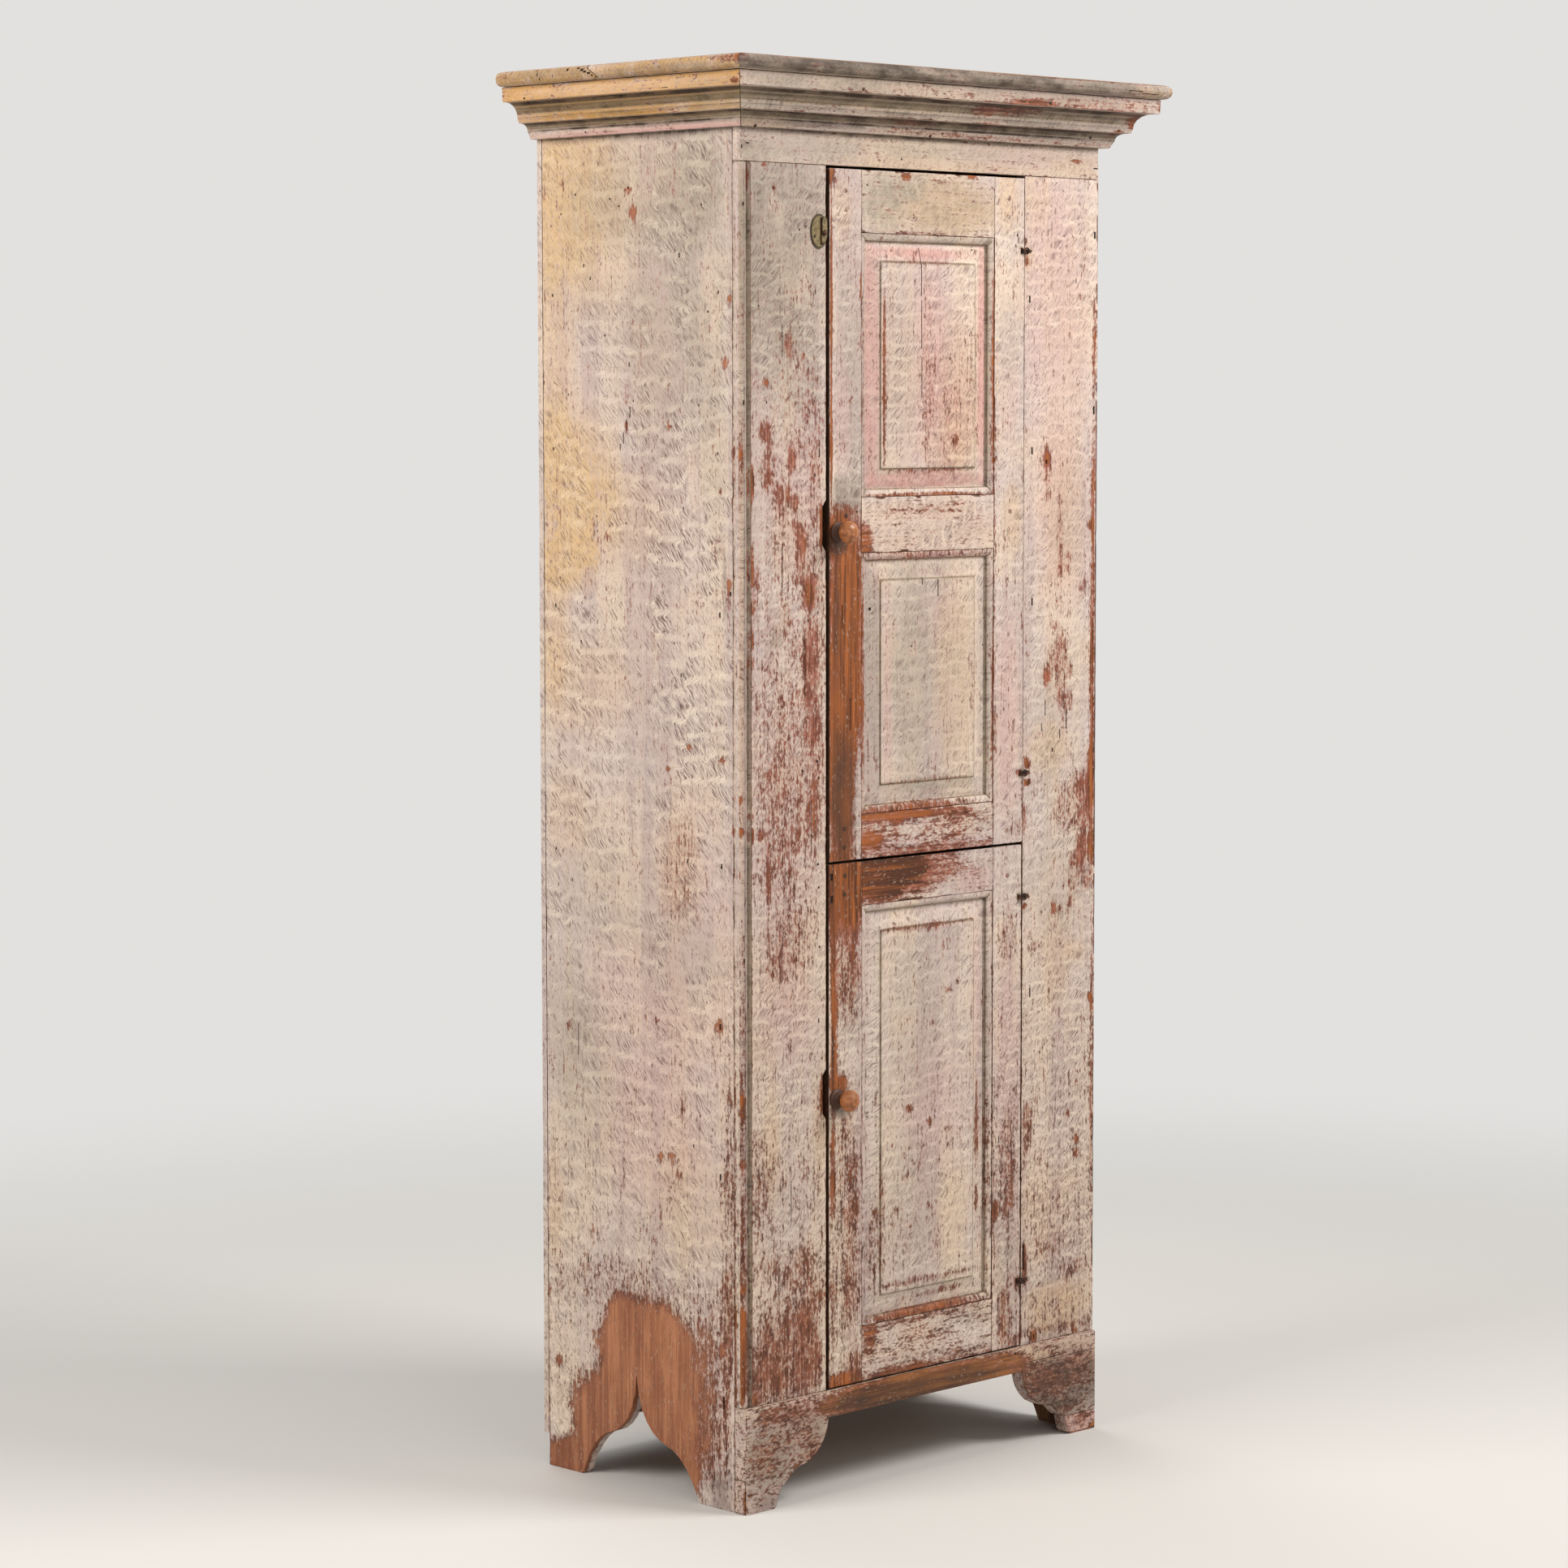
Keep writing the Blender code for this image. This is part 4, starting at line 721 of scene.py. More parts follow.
                (17, 224, 98, 10, 0.9), (125, 375, 5, 34, 0.7), (125, 473, 3.3, 69, 0.25),
                (-112, 301, 8, 67, 0.7), (-113, 590, 6, 133, 0.35),
            ),
            "bare": ((-16, 226, 81, 4.5, 0.6),),
            "rose": ((-1, 774, 113, 9, 0.5),),
            "ash": ((124, 622, 8, 91, 0.4), (-1, 784, 129, 6, 0.5),),
            "dirt": ((-119, 250, 9, 7, 0.6),),
        },
    },
    "lower_panel": {
        "front": {
            "red": (
                (106, 471, 5.0, 71, 0.9), (106, 364, 5, 16, 0.95), (-1, 757, 97, 3.4, 0.75),
                (0, 268, 98, 3.4, 0.75), (-87, 364, 4.0, 90, 0.5), (24, 432, 4.9, 4.5, 0.8),
                (-16, 429, 4.9, 4.5, 0.8), (-39, 413, 4.8, 4.5, 0.8), (-58, 370, 4.8, 6, 0.8),
                (14, 622, 4.9, 4.5, 0.7), (63, 675, 4.9, 4.5, 0.7), (-48, 326, 48, 34, 0.14),
                (16, 430, 49, 68, 0.08), (33, 246, 66, 3.4, 0.5), (-101, 322, 10, 56, 0.45),
            ),
            "pale": ((-102, 589, 13, 178, 0.8), (-1, 767, 97, 7, 0.5), (82, 431, 7, 7, 1),),
            "bare": ((-33, 508, 4.8, 6, 1), (8, 485, 4.1, 4.5, 0.8), (46, 665, 4.9, 3.9, 0.9),),
            "ash": ((-17, 636, 48, 112, 0.35), (-32, 380, 48, 90, 0.35), (0, 256, 98, 9, 0.5),),
            "rose": ((16, 509, 65, 90, 0.25), (104, 658, 10, 102, 0.4),),
            "ochre": ((49, 346, 33, 68, 0.3),),
        },
    },
    "upper_panel_high": {
        "front": {
            "rose": (
                (-106, 1519, 14, 162, 1.3), (113, 1532, 11, 166, 1.3), (-10, 1670, 92, 9, 1.1),
                (-3, 1520, 96, 142, 0.3), (-3, 1365, 109, 11, 1.4), (5, 1553, 26, 87, 0.45),
                (37, 1443, 65, 66, 0.3),
            ),
            "red": (
                (-10, 1670, 80, 4.3, 0.3), (-10, 1658, 83, 1.7, 0.7), (-3, 1379, 90, 2.2, 0.7),
                (53, 1465, 55, 99, 0.24), (0, 1498, 10, 120, 0.3),
            ),
            "pale": ((-101, 1530, 12, 129, 0.2), (-10, 1681, 89, 3.3, 0.5),),
            "ochre": ((53, 1487, 36, 110, 0.4), (37, 1410, 39, 44, 0.3), (70, 1443, 33, 66, 0.3),),
            "ash": ((-51, 1520, 35, 109, 0.4),),
            "bare": ((-85, 1509, 2.8, 119, 0.7), (55, 1419, 6, 6, 0.7),),
            "comb": ((5, 1520, 96, 131, 0.35),),
        },
    },
    "upper_panel_low": {
        "front": {
            "ash": (
                (-34, 1104, 41, 143, 0.6), (14, 1102, 81, 144, 0.3), (-105, 1107, 14, 153, 0.7),
                (115, 1097, 10, 157, 0.55), (-2, 1246, 96, 9, 0.5), (-2, 952, 97, 10, 0.6),
            ),
            "ochre": ((55, 1100, 42, 134, 0.55),),
            "rose": ((-79, 1084, 8, 121, 0.6), (-2, 1240, 80, 6, 0.3), (14, 1179, 48, 33, 0.25),),
            "comb": ((6, 1091, 97, 133, -0.1),),
            "red": ((-2, 958, 93, 2.2, 0.4),),
        },
    },
    "upper_moulding_high": {
        "front": {
            "ash": ((-4, 1690, 143, 8, 0.8), (122, 1521, 8, 188, 0.6), (-121, 1519, 8, 183, 0.7),),
            "pale": ((-3, 1352, 128, 5, 0.5),),
            "bare": ((-3, 1346, 112, 2.7, 0.5), (130, 1499, 3.0, 144, 0.55),),
            "dirt": ((-121, 1357, 6, 4.3, 0.7),),
            "red": ((-126, 1498, 3.1, 151, 0.3),),
        },
    },
    "upper_moulding_low": {
        "front": {
            "red": ((-3, 1265, 128, 6, 0.5),),
            "rose": ((-3, 1259, 128, 7, 0.6), (123, 1226, 7, 16, 0.6),),
            "ash": ((124, 1086, 8, 169, 0.6), (-121, 1097, 8, 164, 0.6),),
            "bare": ((-34, 923, 112, 7, 0.55), (-126, 1097, 3.1, 153, 0.5), (132, 1063, 3.0, 135, 0.5),),
            "pale": ((31, 929, 97, 4.5, 0.7),),
        },
    },
    "base_board": {
        "front": {
            "bare": (
                (-88, 122, 105, 19, 1.2), (1, 123, 104, 19, 1.2), (125, 124, 67, 14, 0.9),
                (100, 109, 100, 4.6, 0.8), (130, 121, 27, 6, -0.5),
            ),
            "dirt": (
                (-144, 121, 32, 9, 0.55), (-306, 8, 33, 10, 0.6), (-283, 73, 91, 55, 0.35),
                (284, 74, 94, 47, 1.25), (-16, 115, 179, 20, 0.85),
            ),
            "pale": ((130, 120, 42, 8, 0.9), (-356, 96, 10, 44, 0.6), (314, 57, 39, 28, 0.5),),
            "red": (
                (193, 112, 27, 14, 0.8), (-268, 125, 67, 11, 0.6), (-283, 84, 61, 49, 0.35),
                (270, 91, 70, 21, 0.6), (244, 86, 35, 21, 0.5), (-222, 62, 15, 22, 0.5),
                (264, 43, 52, 7, 0.5), (279, 74, 87, 47, 0.25), (17, 123, 180, 23, 0.35),
            ),
            "rose": ((305, 100, 46, 24, 0.5), (-245, 116, 46, 33, 0.4), (270, 82, 70, 24, 0.5),),
            "ash": (
                (-314, 67, 36, 33, 0.5), (-222, 95, 25, 22, 0.4), (-283, 73, 91, 55, 0.5),
                (288, 61, 87, 47, 0.4),
            ),
            "ochre": ((-356, 134, 10, 11, 0.4), (66, 109, 299, 46, 0.55),),
            "comb": ((-283, 62, 92, 66, -0.6), (270, 70, 104, 59, -0.6),),
        },
    },
    "foot_patch_left": {
        "front": {
            "bare": ((-336, 16, 30, 15, 0.75),),
            "rose": ((-337, 11, 30, 18, 0.6),),
        },
    },
    "foot_block_right": {
        "front": {
            "rose": ((323, 14, 42, 24, 0.7),),
            "red": ((320, 18, 14, 9, 0.8),),
            "bare": ((350, 0, 14, 7, 1.1), (306, -1, 53, 3.0, 0.8),),
            "dirt": ((309, 16, 9, 7, 0.5),),
        },
    },
    "cornice_front": {
        "front": {
            "ash": (
                (0, 1872, 440, 24, 0.45), (-276, 1868, 134, 41, 0.5), (33, 1834, 386, 15, 0.45),
                (230, 1859, 168, 29, 0.4),
            ),
            # The bands that run the whole width are painted shade: thin shadow lines under the nose, under
            # the fascia and at the tops of the coves, and wider shade in the coves.
            "dirt": (
                (0, 1882, 440, 8, 0.32), (0, 1870, 440, 2.0, 2), (0, 1844, 440, 1.4, 1.8),
                (0, 1835, 440, 1.4, 2), (0, 1891, 440, 0.9, 1.3), (0, 1865, 440, 7, 0.55),
                (0, 1841, 440, 4.0, 0.55), (0, 1852, 440, 1.1, 1.1), (-439, 1828, 4.3, 3.1, 0.5),
            ),
            "ochre": ((0, 1882, 440, 9, 0.26), (-150, 1862, 200, 8, 0.4), (-335, 1829, 73, 10, 0.5),),
            "pale": ((33, 1877, 353, 11, 0.2),),
            "red": (
                (68, 1861, 23, 6, 1), (117, 1866, 52, 7, 1), (-47, 1841, 41, 3.2, 0.85),
                (88, 1844, 26, 3.3, 0.9), (196, 1828, 150, 2.2, 0.5), (17, 1830, 144, 3.2, 0.45),
                (33, 1877, 321, 6, 0.2), (297, 1879, 102, 11, 0.35),
            ),
            "bare": (
                (146, 1875, 43, 4.4, 0.6), (417, 1883, 7, 9, 1), (384, 1861, 14, 9, 0.9),
                (356, 1845, 7, 3.4, 0.9),
            ),
            "rose": ((98, 1815, 310, 7, 0.95),),
            "comb": ((33, 1880, 645, 11, -0.4),),
        },
    },
    "cornice_left": {
        "left": {
            "ochre": ((14, 1889, 314, 42, 1.6), (14, 1847, 236, 9, 0.5),),
            # The bands that run the whole width are painted shade: thin shadow lines under the nose, under
            # the fascia and at the tops of the coves, and wider shade in the coves.
            "dirt": (
                (0, 1870, 300, 2.0, 2), (0, 1844, 300, 1.4, 1.8), (0, 1835, 300, 1.4, 2),
                (0, 1891, 300, 0.9, 1.3), (0, 1864, 300, 8, 0.52), (0, 1841, 300, 4.0, 0.45),
                (0, 1852, 300, 1.1, 1.1), (-181, 1830, 9, 4.1, 0.8),
            ),
            "ash": ((14, 1859, 283, 9, 0.3), (-170, 1858, 60, 31, 0.35),),
            "rose": ((-32, 1824, 264, 7, 1),),
            "red": ((126, 1828, 65, 5, 0.15),),
            "bare": ((-213, 1878, 7, 4.1, 1),),
            "comb": ((14, 1868, 472, 63, -0.8),),
            "pale": ((14, 1880, 220, 8, 0.35),),
        },
    },
    "top_board_front": {
        "front": {
            "ash": ((-66, 1901, 455, 19, 1.5), (365, 1898, 45, 9, -0.3),),
            "dirt": ((-66, 1901, 455, 15, 1.4),),
            "ochre": ((-220, 1901, 226, 10, 0.3), (365, 1898, 49, 9, 0.7),),
            "red": ((-324, 1904, 88, 5, 0.35),),
            "bare": ((-420, 1907, 9, 7, 0.9), (225, 1910, 151, 0.9, 0.3),),
        },
        "left": {
            "ochre": ((-114, 1900, 152, 14, 1.4),),
            "ash": ((-68, 1900, 92, 6, 0.4),),
            "red": ((-211, 1906, 21, 4.1, 0.6),),
            "dirt": ((-99, 1896, 137, 9, 0.62),),
            "bare": ((-230, 1907, 6, 6, 0.9),),
            "pale": ((-159, 1899, 45, 5, 0.3),),
        },
    },
    "top_board_back": {
        "left": {
            "ochre": ((89, 1900, 176, 15, 1.4),),
            "ash": ((105, 1905, 96, 6, 0.4),),
            "red": ((219, 1907, 13, 6, 0.4),),
            "dirt": ((121, 1900, 145, 8, 0.5),),
        },
    },
}

# Nail holes, knots, slits and cracks on the same faces: (across, height, half width, half height).
PITS = {
    "side_left": {
        "left": (
            (53.2, 1754.1, 1.6, 1.6), (157.8, 1748.2, 1.6, 1.6), (89.4, 1740.4, 1.6, 1.3),
            (71.1, 1730.2, 1.4, 1.3), (186.8, 1723.1, 1.3, 1.4), (-87.4, 1727.0, 1.2, 1.6),
            (-44.8, 1662.4, 1.4, 3.2), (141.6, 1653.1, 1.3, 2.2), (128.8, 1636.0, 1.3, 2.2),
            (204.6, 1614.7, 1.6, 2.2), (-118.7, 1612.9, 1.5, 2.1), (-99.1, 1588.1, 1.5, 1.8),
            (100.3, 1559.3, 1.4, 1.6), (52.6, 1520.7, 1.1, 3.2), (44.9, 1472.3, 1.1, 1.6),
            (174.0, 1481.1, 1.1, 1.6), (-81.8, 1466.8, 1.1, 1.6), (204.3, 1407.7, 1.5, 2.2),
            (-116.8, 1403.5, 1.4, 2.1), (118.2, 1317.9, 1.1, 1.6), (-51.8, 1331.6, 1.1, 1.6),
            (60.3, 1309.2, 1.3, 1.6), (192.5, 1232.9, 1.3, 1.7), (201.6, 1195.1, 1.5, 2.8),
            (150.4, 1148.3, 1.3, 1.7), (-13.5, 1167.6, 1.3, 1.6), (-33.2, 1152.6, 1.3, 1.6),
            (-120.2, 1192.8, 1.7, 3.7), (-46.1, 1110.8, 1.2, 2.7), (-140.6, 1221.0, 1.8, 3.2),
            (171.1, 821.7, 1.3, 2.2), (203.9, 862.7, 1.3, 2.2), (-57.5, 864.4, 1.4, 2.7),
            (-122.6, 861.8, 1.8, 3.8), (-119.2, 648.8, 1.9, 4.3), (75.8, 640.4, 1.3, 1.4),
            (160.2, 603.8, 0.8, 21.3), (-118.9, 447.6, 1.9, 4.4), (-67.6, 483.7, 1.3, 2.2),
            (205.7, 459.2, 1.3, 2.3), (-130.8, 525.1, 1.1, 2.7), (142.7, 300.4, 1.7, 4.5),
            (40.9, 313.7, 1.3, 2.2), (-124.9, 144.8, 1.7, 8.8), (51.4, 1457.2, 1.0, 7.5),
            (57.8, 1439.9, 1.0, 7.5), (64.3, 1422.7, 1.0, 7.6), (70.8, 1410.7, 1.0, 4.3),
            (231.6, 1634.9, 1.5, 2.2), (-45.1, 533.5, 0.9, 9.9),
        ),
    },
    "case_stile_left": {
        "front": (
            (-345.3, 1469.9, 1.5, 3.1), (-206.3, 1403.1, 1.1, 5.3), (-214.2, 1374.2, 1.1, 2.1),
            (-213.3, 1614.5, 1.1, 2.7), (-208.9, 1192.4, 1.1, 2.7), (-207.7, 647.1, 1.2, 3.3),
            (-206.2, 447.8, 1.2, 3.3), (-338.6, 380.0, 1.2, 3.3), (-303.9, 1469.9, 1.2, 1.6),
            (-345.6, 1725.8, 1.2, 2.6), (-227.2, 1182.3, 1.2, 2.1), (-345.9, 740.3, 1.3, 2.7),
            (-210.6, 995.1, 2.0, 1.6), (-238.0, 983.7, 2.0, 1.6), (-207.5, 972.6, 1.7, 1.6),
            (-209.1, 857.2, 2.0, 1.6), (-207.6, 826.0, 1.7, 1.6), (-206.1, 746.2, 1.7, 1.6),
            (-342.3, 99.3, 1.7, 1.6), (-231.4, 1699.8, 1.4, 1.3), (-243.4, 1695.3, 1.4, 1.3),
            (-291.1, 1748.4, 1.2, 1.3), (-318.0, 1594.9, 1.2, 1.3), (-275.0, 1550.2, 0.7, 21.1),
            (-275.5, 1253.4, 0.8, 31.9), (-233.4, 1123.5, 0.7, 43.0), (-221.3, 907.0, 0.7, 37.9),
            (-260.0, 409.8, 0.7, 27.4),
        ),
    },
    "case_stile_right": {
        "front": (
            (207.5, 1612.2, 1.8, 5.0), (213.5, 1402.6, 1.9, 5.1), (214.7, 1193.1, 1.9, 5.1),
            (213.3, 643.8, 1.5, 6.9), (258.6, 983.3, 1.5, 2.9), (287.5, 1025.2, 1.2, 13.8),
            (243.2, 1043.5, 0.9, 11.4), (235.5, 1016.6, 1.0, 5.7), (273.7, 1005.3, 1.0, 6.9),
            (201.7, 268.6, 2.0, 18.6), (243.6, 1387.3, 1.7, 2.8), (224.5, 151.2, 1.2, 3.5),
            (343.4, 1703.4, 2.1, 5.1), (343.3, 1458.5, 2.1, 5.7), (304.0, 1639.3, 0.9, 3.9),
        ),
    },
    "frieze_board": {
        "front": (
            (344.5, 1796.4, 5.2, 0.9), (-49.8, 1794.0, 1.6, 1.3), (-348.4, 1799.4, 1.5, 2.1),
            (-338.1, 1804.0, 2.9, 0.9),
        ),
    },
    "upper_door_rail_top": {
        "front": (
            (-118.7, 1757.5, 1.5, 1.3), (-29.2, 1720.6, 1.1, 1.1),
        ),
    },
    "upper_door_stile_right": {
        "front": (
            (178.6, 1699.1, 1.5, 1.7), (175.3, 1684.6, 1.2, 2.2), (180.3, 1692.5, 0.8, 4.4),
        ),
    },
    "upper_door_stile_left": {
        "front": (
            (-138.2, 1324.8, 1.7, 1.6), (-166.0, 1185.5, 0.9, 16.2), (-150.5, 1054.7, 0.8, 21.8),
        ),
    },
    "upper_panel_high": {
        "front": (
            (-12.8, 1645.1, 0.8, 32.6), (-12.3, 1574.4, 0.8, 32.7), (-11.8, 1503.6, 0.8, 27.3),
            (92.9, 1677.0, 1.6, 1.1),
        ),
    },
    "upper_panel_low": {
        "front": (
            (-10.4, 1228.5, 1.0, 5.0), (20.9, 1218.7, 1.0, 12.2), (-107.6, 1193.8, 2.0, 2.2),
            (-31.3, 1141.1, 1.3, 1.4), (118.1, 1136.6, 1.3, 1.7),
        ),
    },
    "lower_panel": {
        "front": (
            (13.8, 621.7, 1.3, 1.4), (62.7, 675.5, 1.3, 1.4), (-3.1, 640.3, 1.0, 2.8),
        ),
    },
    "lower_door_stile_left": {
        "front": (
            (-184.5, 837.9, 2.7, 4.9), (-184.5, 807.9, 2.7, 4.9), (-165.8, 375.1, 0.8, 22.2),
        ),
    },
    "lower_door_stile_right": {
        "front": (
            (147.9, 443.3, 1.0, 5.2),
        ),
    },
    "base_board": {
        "front": (
            (178.8, 135.0, 2.0, 1.2), (244.0, 118.5, 38.0, 0.6), (322.4, 115.9, 31.7, 0.6),
        ),
    },
    "cornice_left": {
        "left": (
            (190.6, 1875.0, 2.0, 1.3), (198.9, 1870.1, 2.5, 1.1), (15.9, 1869.9, 2.4, 0.8),
            (-83.4, 1875.2, 6.1, 0.5), (121.5, 1829.4, 1.5, 1.1), (-179.9, 1830.2, 2.6, 1.3),
        ),
    },
    "cornice_front": {
        "front": (
            (-335.4, 1825.6, 2.5, 1.0), (-6.4, 1825.9, 1.7, 1.1), (313.1, 1837.5, 2.6, 1.0),
        ),
    },
    "top_board_front": {
        "front": (
            (344.4, 1900.5, 13.8, 0.6), (375.7, 1897.6, 17.4, 0.6), (354.9, 1893.2, 10.4, 0.6),
        ),
    },
    "top_board_back": {
        "left": (
            (153.8, 1910.1, 1.1, 2.1), (150.6, 1903.6, 1.1, 2.7), (147.3, 1897.0, 1.1, 2.1),
            (91.8, 1907.2, 2.4, 2.1), (71.1, 1908.7, 3.2, 1.6), (63.1, 1905.7, 3.2, 2.1),
            (56.8, 1902.7, 3.2, 1.6), (49.7, 1900.2, 3.2, 1.6), (44.2, 1896.7, 1.9, 1.6),
            (38.7, 1893.3, 1.9, 1.6), (35.4, 1891.0, 1.6, 1.1),
        ),
    },
}

# The axis that each face looks along, and which way it looks.
FACES = {
    "front": (1, -1), "left": (0, -1), "right": (0, 1), "back": (1, 1), "top": (2, 1), "bottom": (2, -1),
}

# What a patch adds to. The first four kinds are kept in the wear attribute and the other four in tint.
KINDS = ("red", "bare", "dirt", "comb", "ochre", "rose", "pale", "ash")

# The height in mm up to which the wear of both sides is alike.
feet_top = 330


def moved(kinds):
    """The same kinds of wear at other places, for the side that the photo hides. Its feet stay alike."""
    made = {}
    for kind, patches in kinds.items():
        made[kind] = []
        for across, z, half_a, half_z, strength in patches:
            aside, up = chance.uniform(-20, 20), chance.uniform(-70, 70)
            if z > feet_top:
                across, z, strength = across + aside, z + up, strength * chance.uniform(0.5, 1.2)
            made[kind].append((across, z, half_a, half_z, strength))
    return made


def slid(kinds):
    """The same wear at the same height and other depths, for the far return of a moulding."""
    return {
        kind: [(across + chance.uniform(-30, 30), *others) for across, *others in patches]
        for kind, patches in kinds.items()
    }


WEAR["side_right"] = {"right": moved(WEAR["side_left"]["left"])}
WEAR["cornice_right"] = {"right": slid(WEAR["cornice_left"]["left"])}
WEAR["top_board_front"]["right"] = slid(WEAR["top_board_front"]["left"])
WEAR["top_board_back"]["right"] = slid(WEAR["top_board_back"]["left"])


def patches_of(node):
    """Every patch of a piece: (face, kind, across, height, half width, half height, strength) in metres."""
    for face, kinds in WEAR.get(node, {}).items():
        for kind, patches in kinds.items():
            for across, z, half_a, half_z, strength in patches:
                yield face, kind, across * mm, z * mm, half_a * mm, half_z * mm, strength


def pits_of(node):
    """Every pit of a piece: (face, across, height, half width, half height) in metres."""
    for face, pits in PITS.get(node, {}).items():
        for pit in pits:
            yield face, *(size * mm for size in pit)


# Cutting a board's mesh, so that it has vertices where its wear begins and ends

least_cut = 1.5 * mm


def unit_along(axis):
    """The vector of length 1 along an axis."""
    unit = Vector((0, 0, 0))
    unit[axis] = 1
    return unit


def cut_places(low, high, gap, rim):
    """Where a mesh is cut across one axis: at equal gaps, and close to both ends."""
    span = high - low
    places = []
    if span > 1.6 * gap:
        count = round(span / gap)
        places += [low + span * i / count for i in range(1, count)]
        if rim and span > 5 * rim:
            places += [low + rim, high - rim]
    kept = []
    for place in sorted(places):
        if not kept or place - kept[-1] > least_cut:
            kept.append(place)
    return kept


def slice_up(bm, axis, places):
    """Cuts the whole mesh across one axis at each place."""
    normal = unit_along(axis)
    for place in places:
        geometry = bm.verts[:] + bm.edges[:] + bm.faces[:]
        bmesh.ops.bisect_plane(bm, geom=geometry, dist=1e-6, plane_co=normal * place, plane_no=normal)


class Patchwork:
    """Finds and cuts the faces near a place on one side of a board, which it keeps in square cells."""

    cell = 20 * mm
    facing = 0.3
    snap = 0.05 * mm

    def __init__(self, bm, face):
        self.bm = bm
        self.axis, self.sign = FACES[face]
        self.bins = {}
        self.keep(bm.faces)

    def keep(self, faces):
        """Files each face that looks this side's way under the cell of its middle."""
        for f in faces:
            if f.normal[self.axis] * self.sign > self.facing:
                middle = f.calc_center_median()
                key = (math.floor(middle[1 - self.axis] / self.cell), math.floor(middle.z / self.cell))
                self.bins.setdefault(key, {})[f] = True

    def near(self, across, z, reach_a, reach_z):
        """The faces that lie partly within reach of a place."""
        found = {}
        first = [math.floor((v - r) / self.cell) - 1 for v, r in ((across, reach_a), (z, reach_z))]
        last = [math.floor((v + r) / self.cell) + 1 for v, r in ((across, reach_a), (z, reach_z))]
        for i in range(first[0], last[0] + 1):
            for j in range(first[1], last[1] + 1):
                for f in self.bins.get((i, j), ()):
                    if not f.is_valid:
                        continue
                    a = [v.co[1 - self.axis] for v in f.verts]
                    h = [v.co.z for v in f.verts]
                    if min(a) < across + reach_a and max(a) > across - reach_a:
                        if min(h) < z + reach_z and max(h) > z - reach_z:
                            found[f] = True
        return list(found)

    def cut(self, across, z, reach_a, reach_z, shares):
        """Cuts the faces near a place at shares of its reach, across and up."""
        for axis, middle, reach in ((1 - self.axis, across, reach_a), (2, z, reach_z)):
            normal = unit_along(axis)
            for share in shares:
                faces = self.near(across, z, reach_a, reach_z)
                edges = {e: True for f in faces for e in f.edges}
                verts = {v: True for f in faces for v in f.verts}
                cut = bmesh.ops.bisect_plane(
                    self.bm, geom=[*verts, *edges, *faces], dist=self.snap,
                    plane_co=normal * (middle + share * reach), plane_no=normal,
                )
                self.keep([f for f in cut["geom"] if isinstance(f, bmesh.types.BMFace)])

    def inside(self, across, z, reach_a, reach_z):
        """The faces whose middles are within reach of a place."""
        found = []
        for f in self.near(across, z, reach_a, reach_z):
            middle = f.calc_center_bounds()
            if abs(middle[1 - self.axis] - across) < reach_a and abs(middle.z - z) < reach_z:
                found.append(f)
        return found


def cut_to_wear(bm, node, gap):
    """Cuts a board at its small patches and its pits. Gives the faces and the half width of each pit."""
    works = {face: Patchwork(bm, face) for face in {*WEAR.get(node, {}), *PITS.get(node, {})}}
    for face, kind, a, z, reach_a, reach_z, strength in patches_of(node):
        least = min(reach_a, reach_z)
        if least < gap:
            works[face].cut(a, z, reach_a, reach_z, (-0.85, 0, 0.85) if least < 0.5 * gap else (-0.8, 0.8))
    for face, *pit in pits_of(node):
        works[face].cut(*pit, (-1, 1))
    bm.normal_update()
    return [(works[face].inside(*pit), min(pit[2:])) for face, *pit in pits_of(node)]


# Measuring how near a place is to an edge, and how closed in it is


def sharp_edges(bm, convex=True, angle=28):
    """The edges that turn by more than an angle, outwards or inwards."""
    limit = math.radians(angle)
    return [e for e in bm.edges if e.is_manifold and e.calc_face_angle(0) > limit and e.is_convex == convex]


def dense_points(edges, spacing=1.5 * mm):
    """Points along edges, to measure how near a vertex is to an edge of its board."""
    points = []
    for e in edges:
        a, b = e.verts[0].co, e.verts[1].co
        count = max(1, math.ceil((b - a).length / spacing))
        points += [a.lerp(b, i / count) for i in range(count + 1)]
    return points


def tree_of(points, most=14 * mm):
    """A measure of how far a place is from the nearest of some points, up to a most."""
    tree = kdtree.KDTree(max(1, len(points)))
    for i, point in enumerate(points):
        tree.insert(point, i)
    tree.balance()
    return lambda place: min(tree.find(place)[2], most) if points else most


def cad_tree():
    """All CAD solids at rest in one tree, to tell how closed in a point is."""
    corners, faces = [], []
    for thing in nodes.values():
        start = len(corners)
        corners += [v.co.copy() for v in thing.data.vertices]
        faces += [[start + i for i in f.vertices] for f in thing.data.polygons]
    return bvhtree.BVHTree.FromPolygons(corners, faces)


solid_tree = cad_tree()
AROUND = [
    Vector((math.cos(turn) * side, math.sin(turn) * side, math.sqrt(1 - side * side)))
    for side, turns in ((0.35, 3), (0.8, 6), (0.96, 3))
    for turn in (math.tau * (k + side) / turns for k in range(turns))
]


def hollowness(place, normal, reach=28 * mm):
    """The share of short rays that meet a solid: near 0 on open faces and 1 deep in a corner."""
    turn = normal.to_track_quat("Z", "Y")
    start = place + normal * 1.3 * mm
    met = 0.0
    for ray in AROUND:
        length = solid_tree.ray_cast(start, turn @ ray, reach)[3]
        if length is not None:
            met += 1 - 0.6 * length / reach
    return met / len(AROUND)


# The wear numbers of a board's vertices


def smooth(values):
    """A smooth rise from 0 to 1."""
    values = np.clip(values, 0, 1)
    return values * values * (3 - 2 * values)


def looks(normals, face, least):
    """Which vertices look a face's way."""
    axis, sign = FACES[face]
    return normals[:, axis] * sign > least


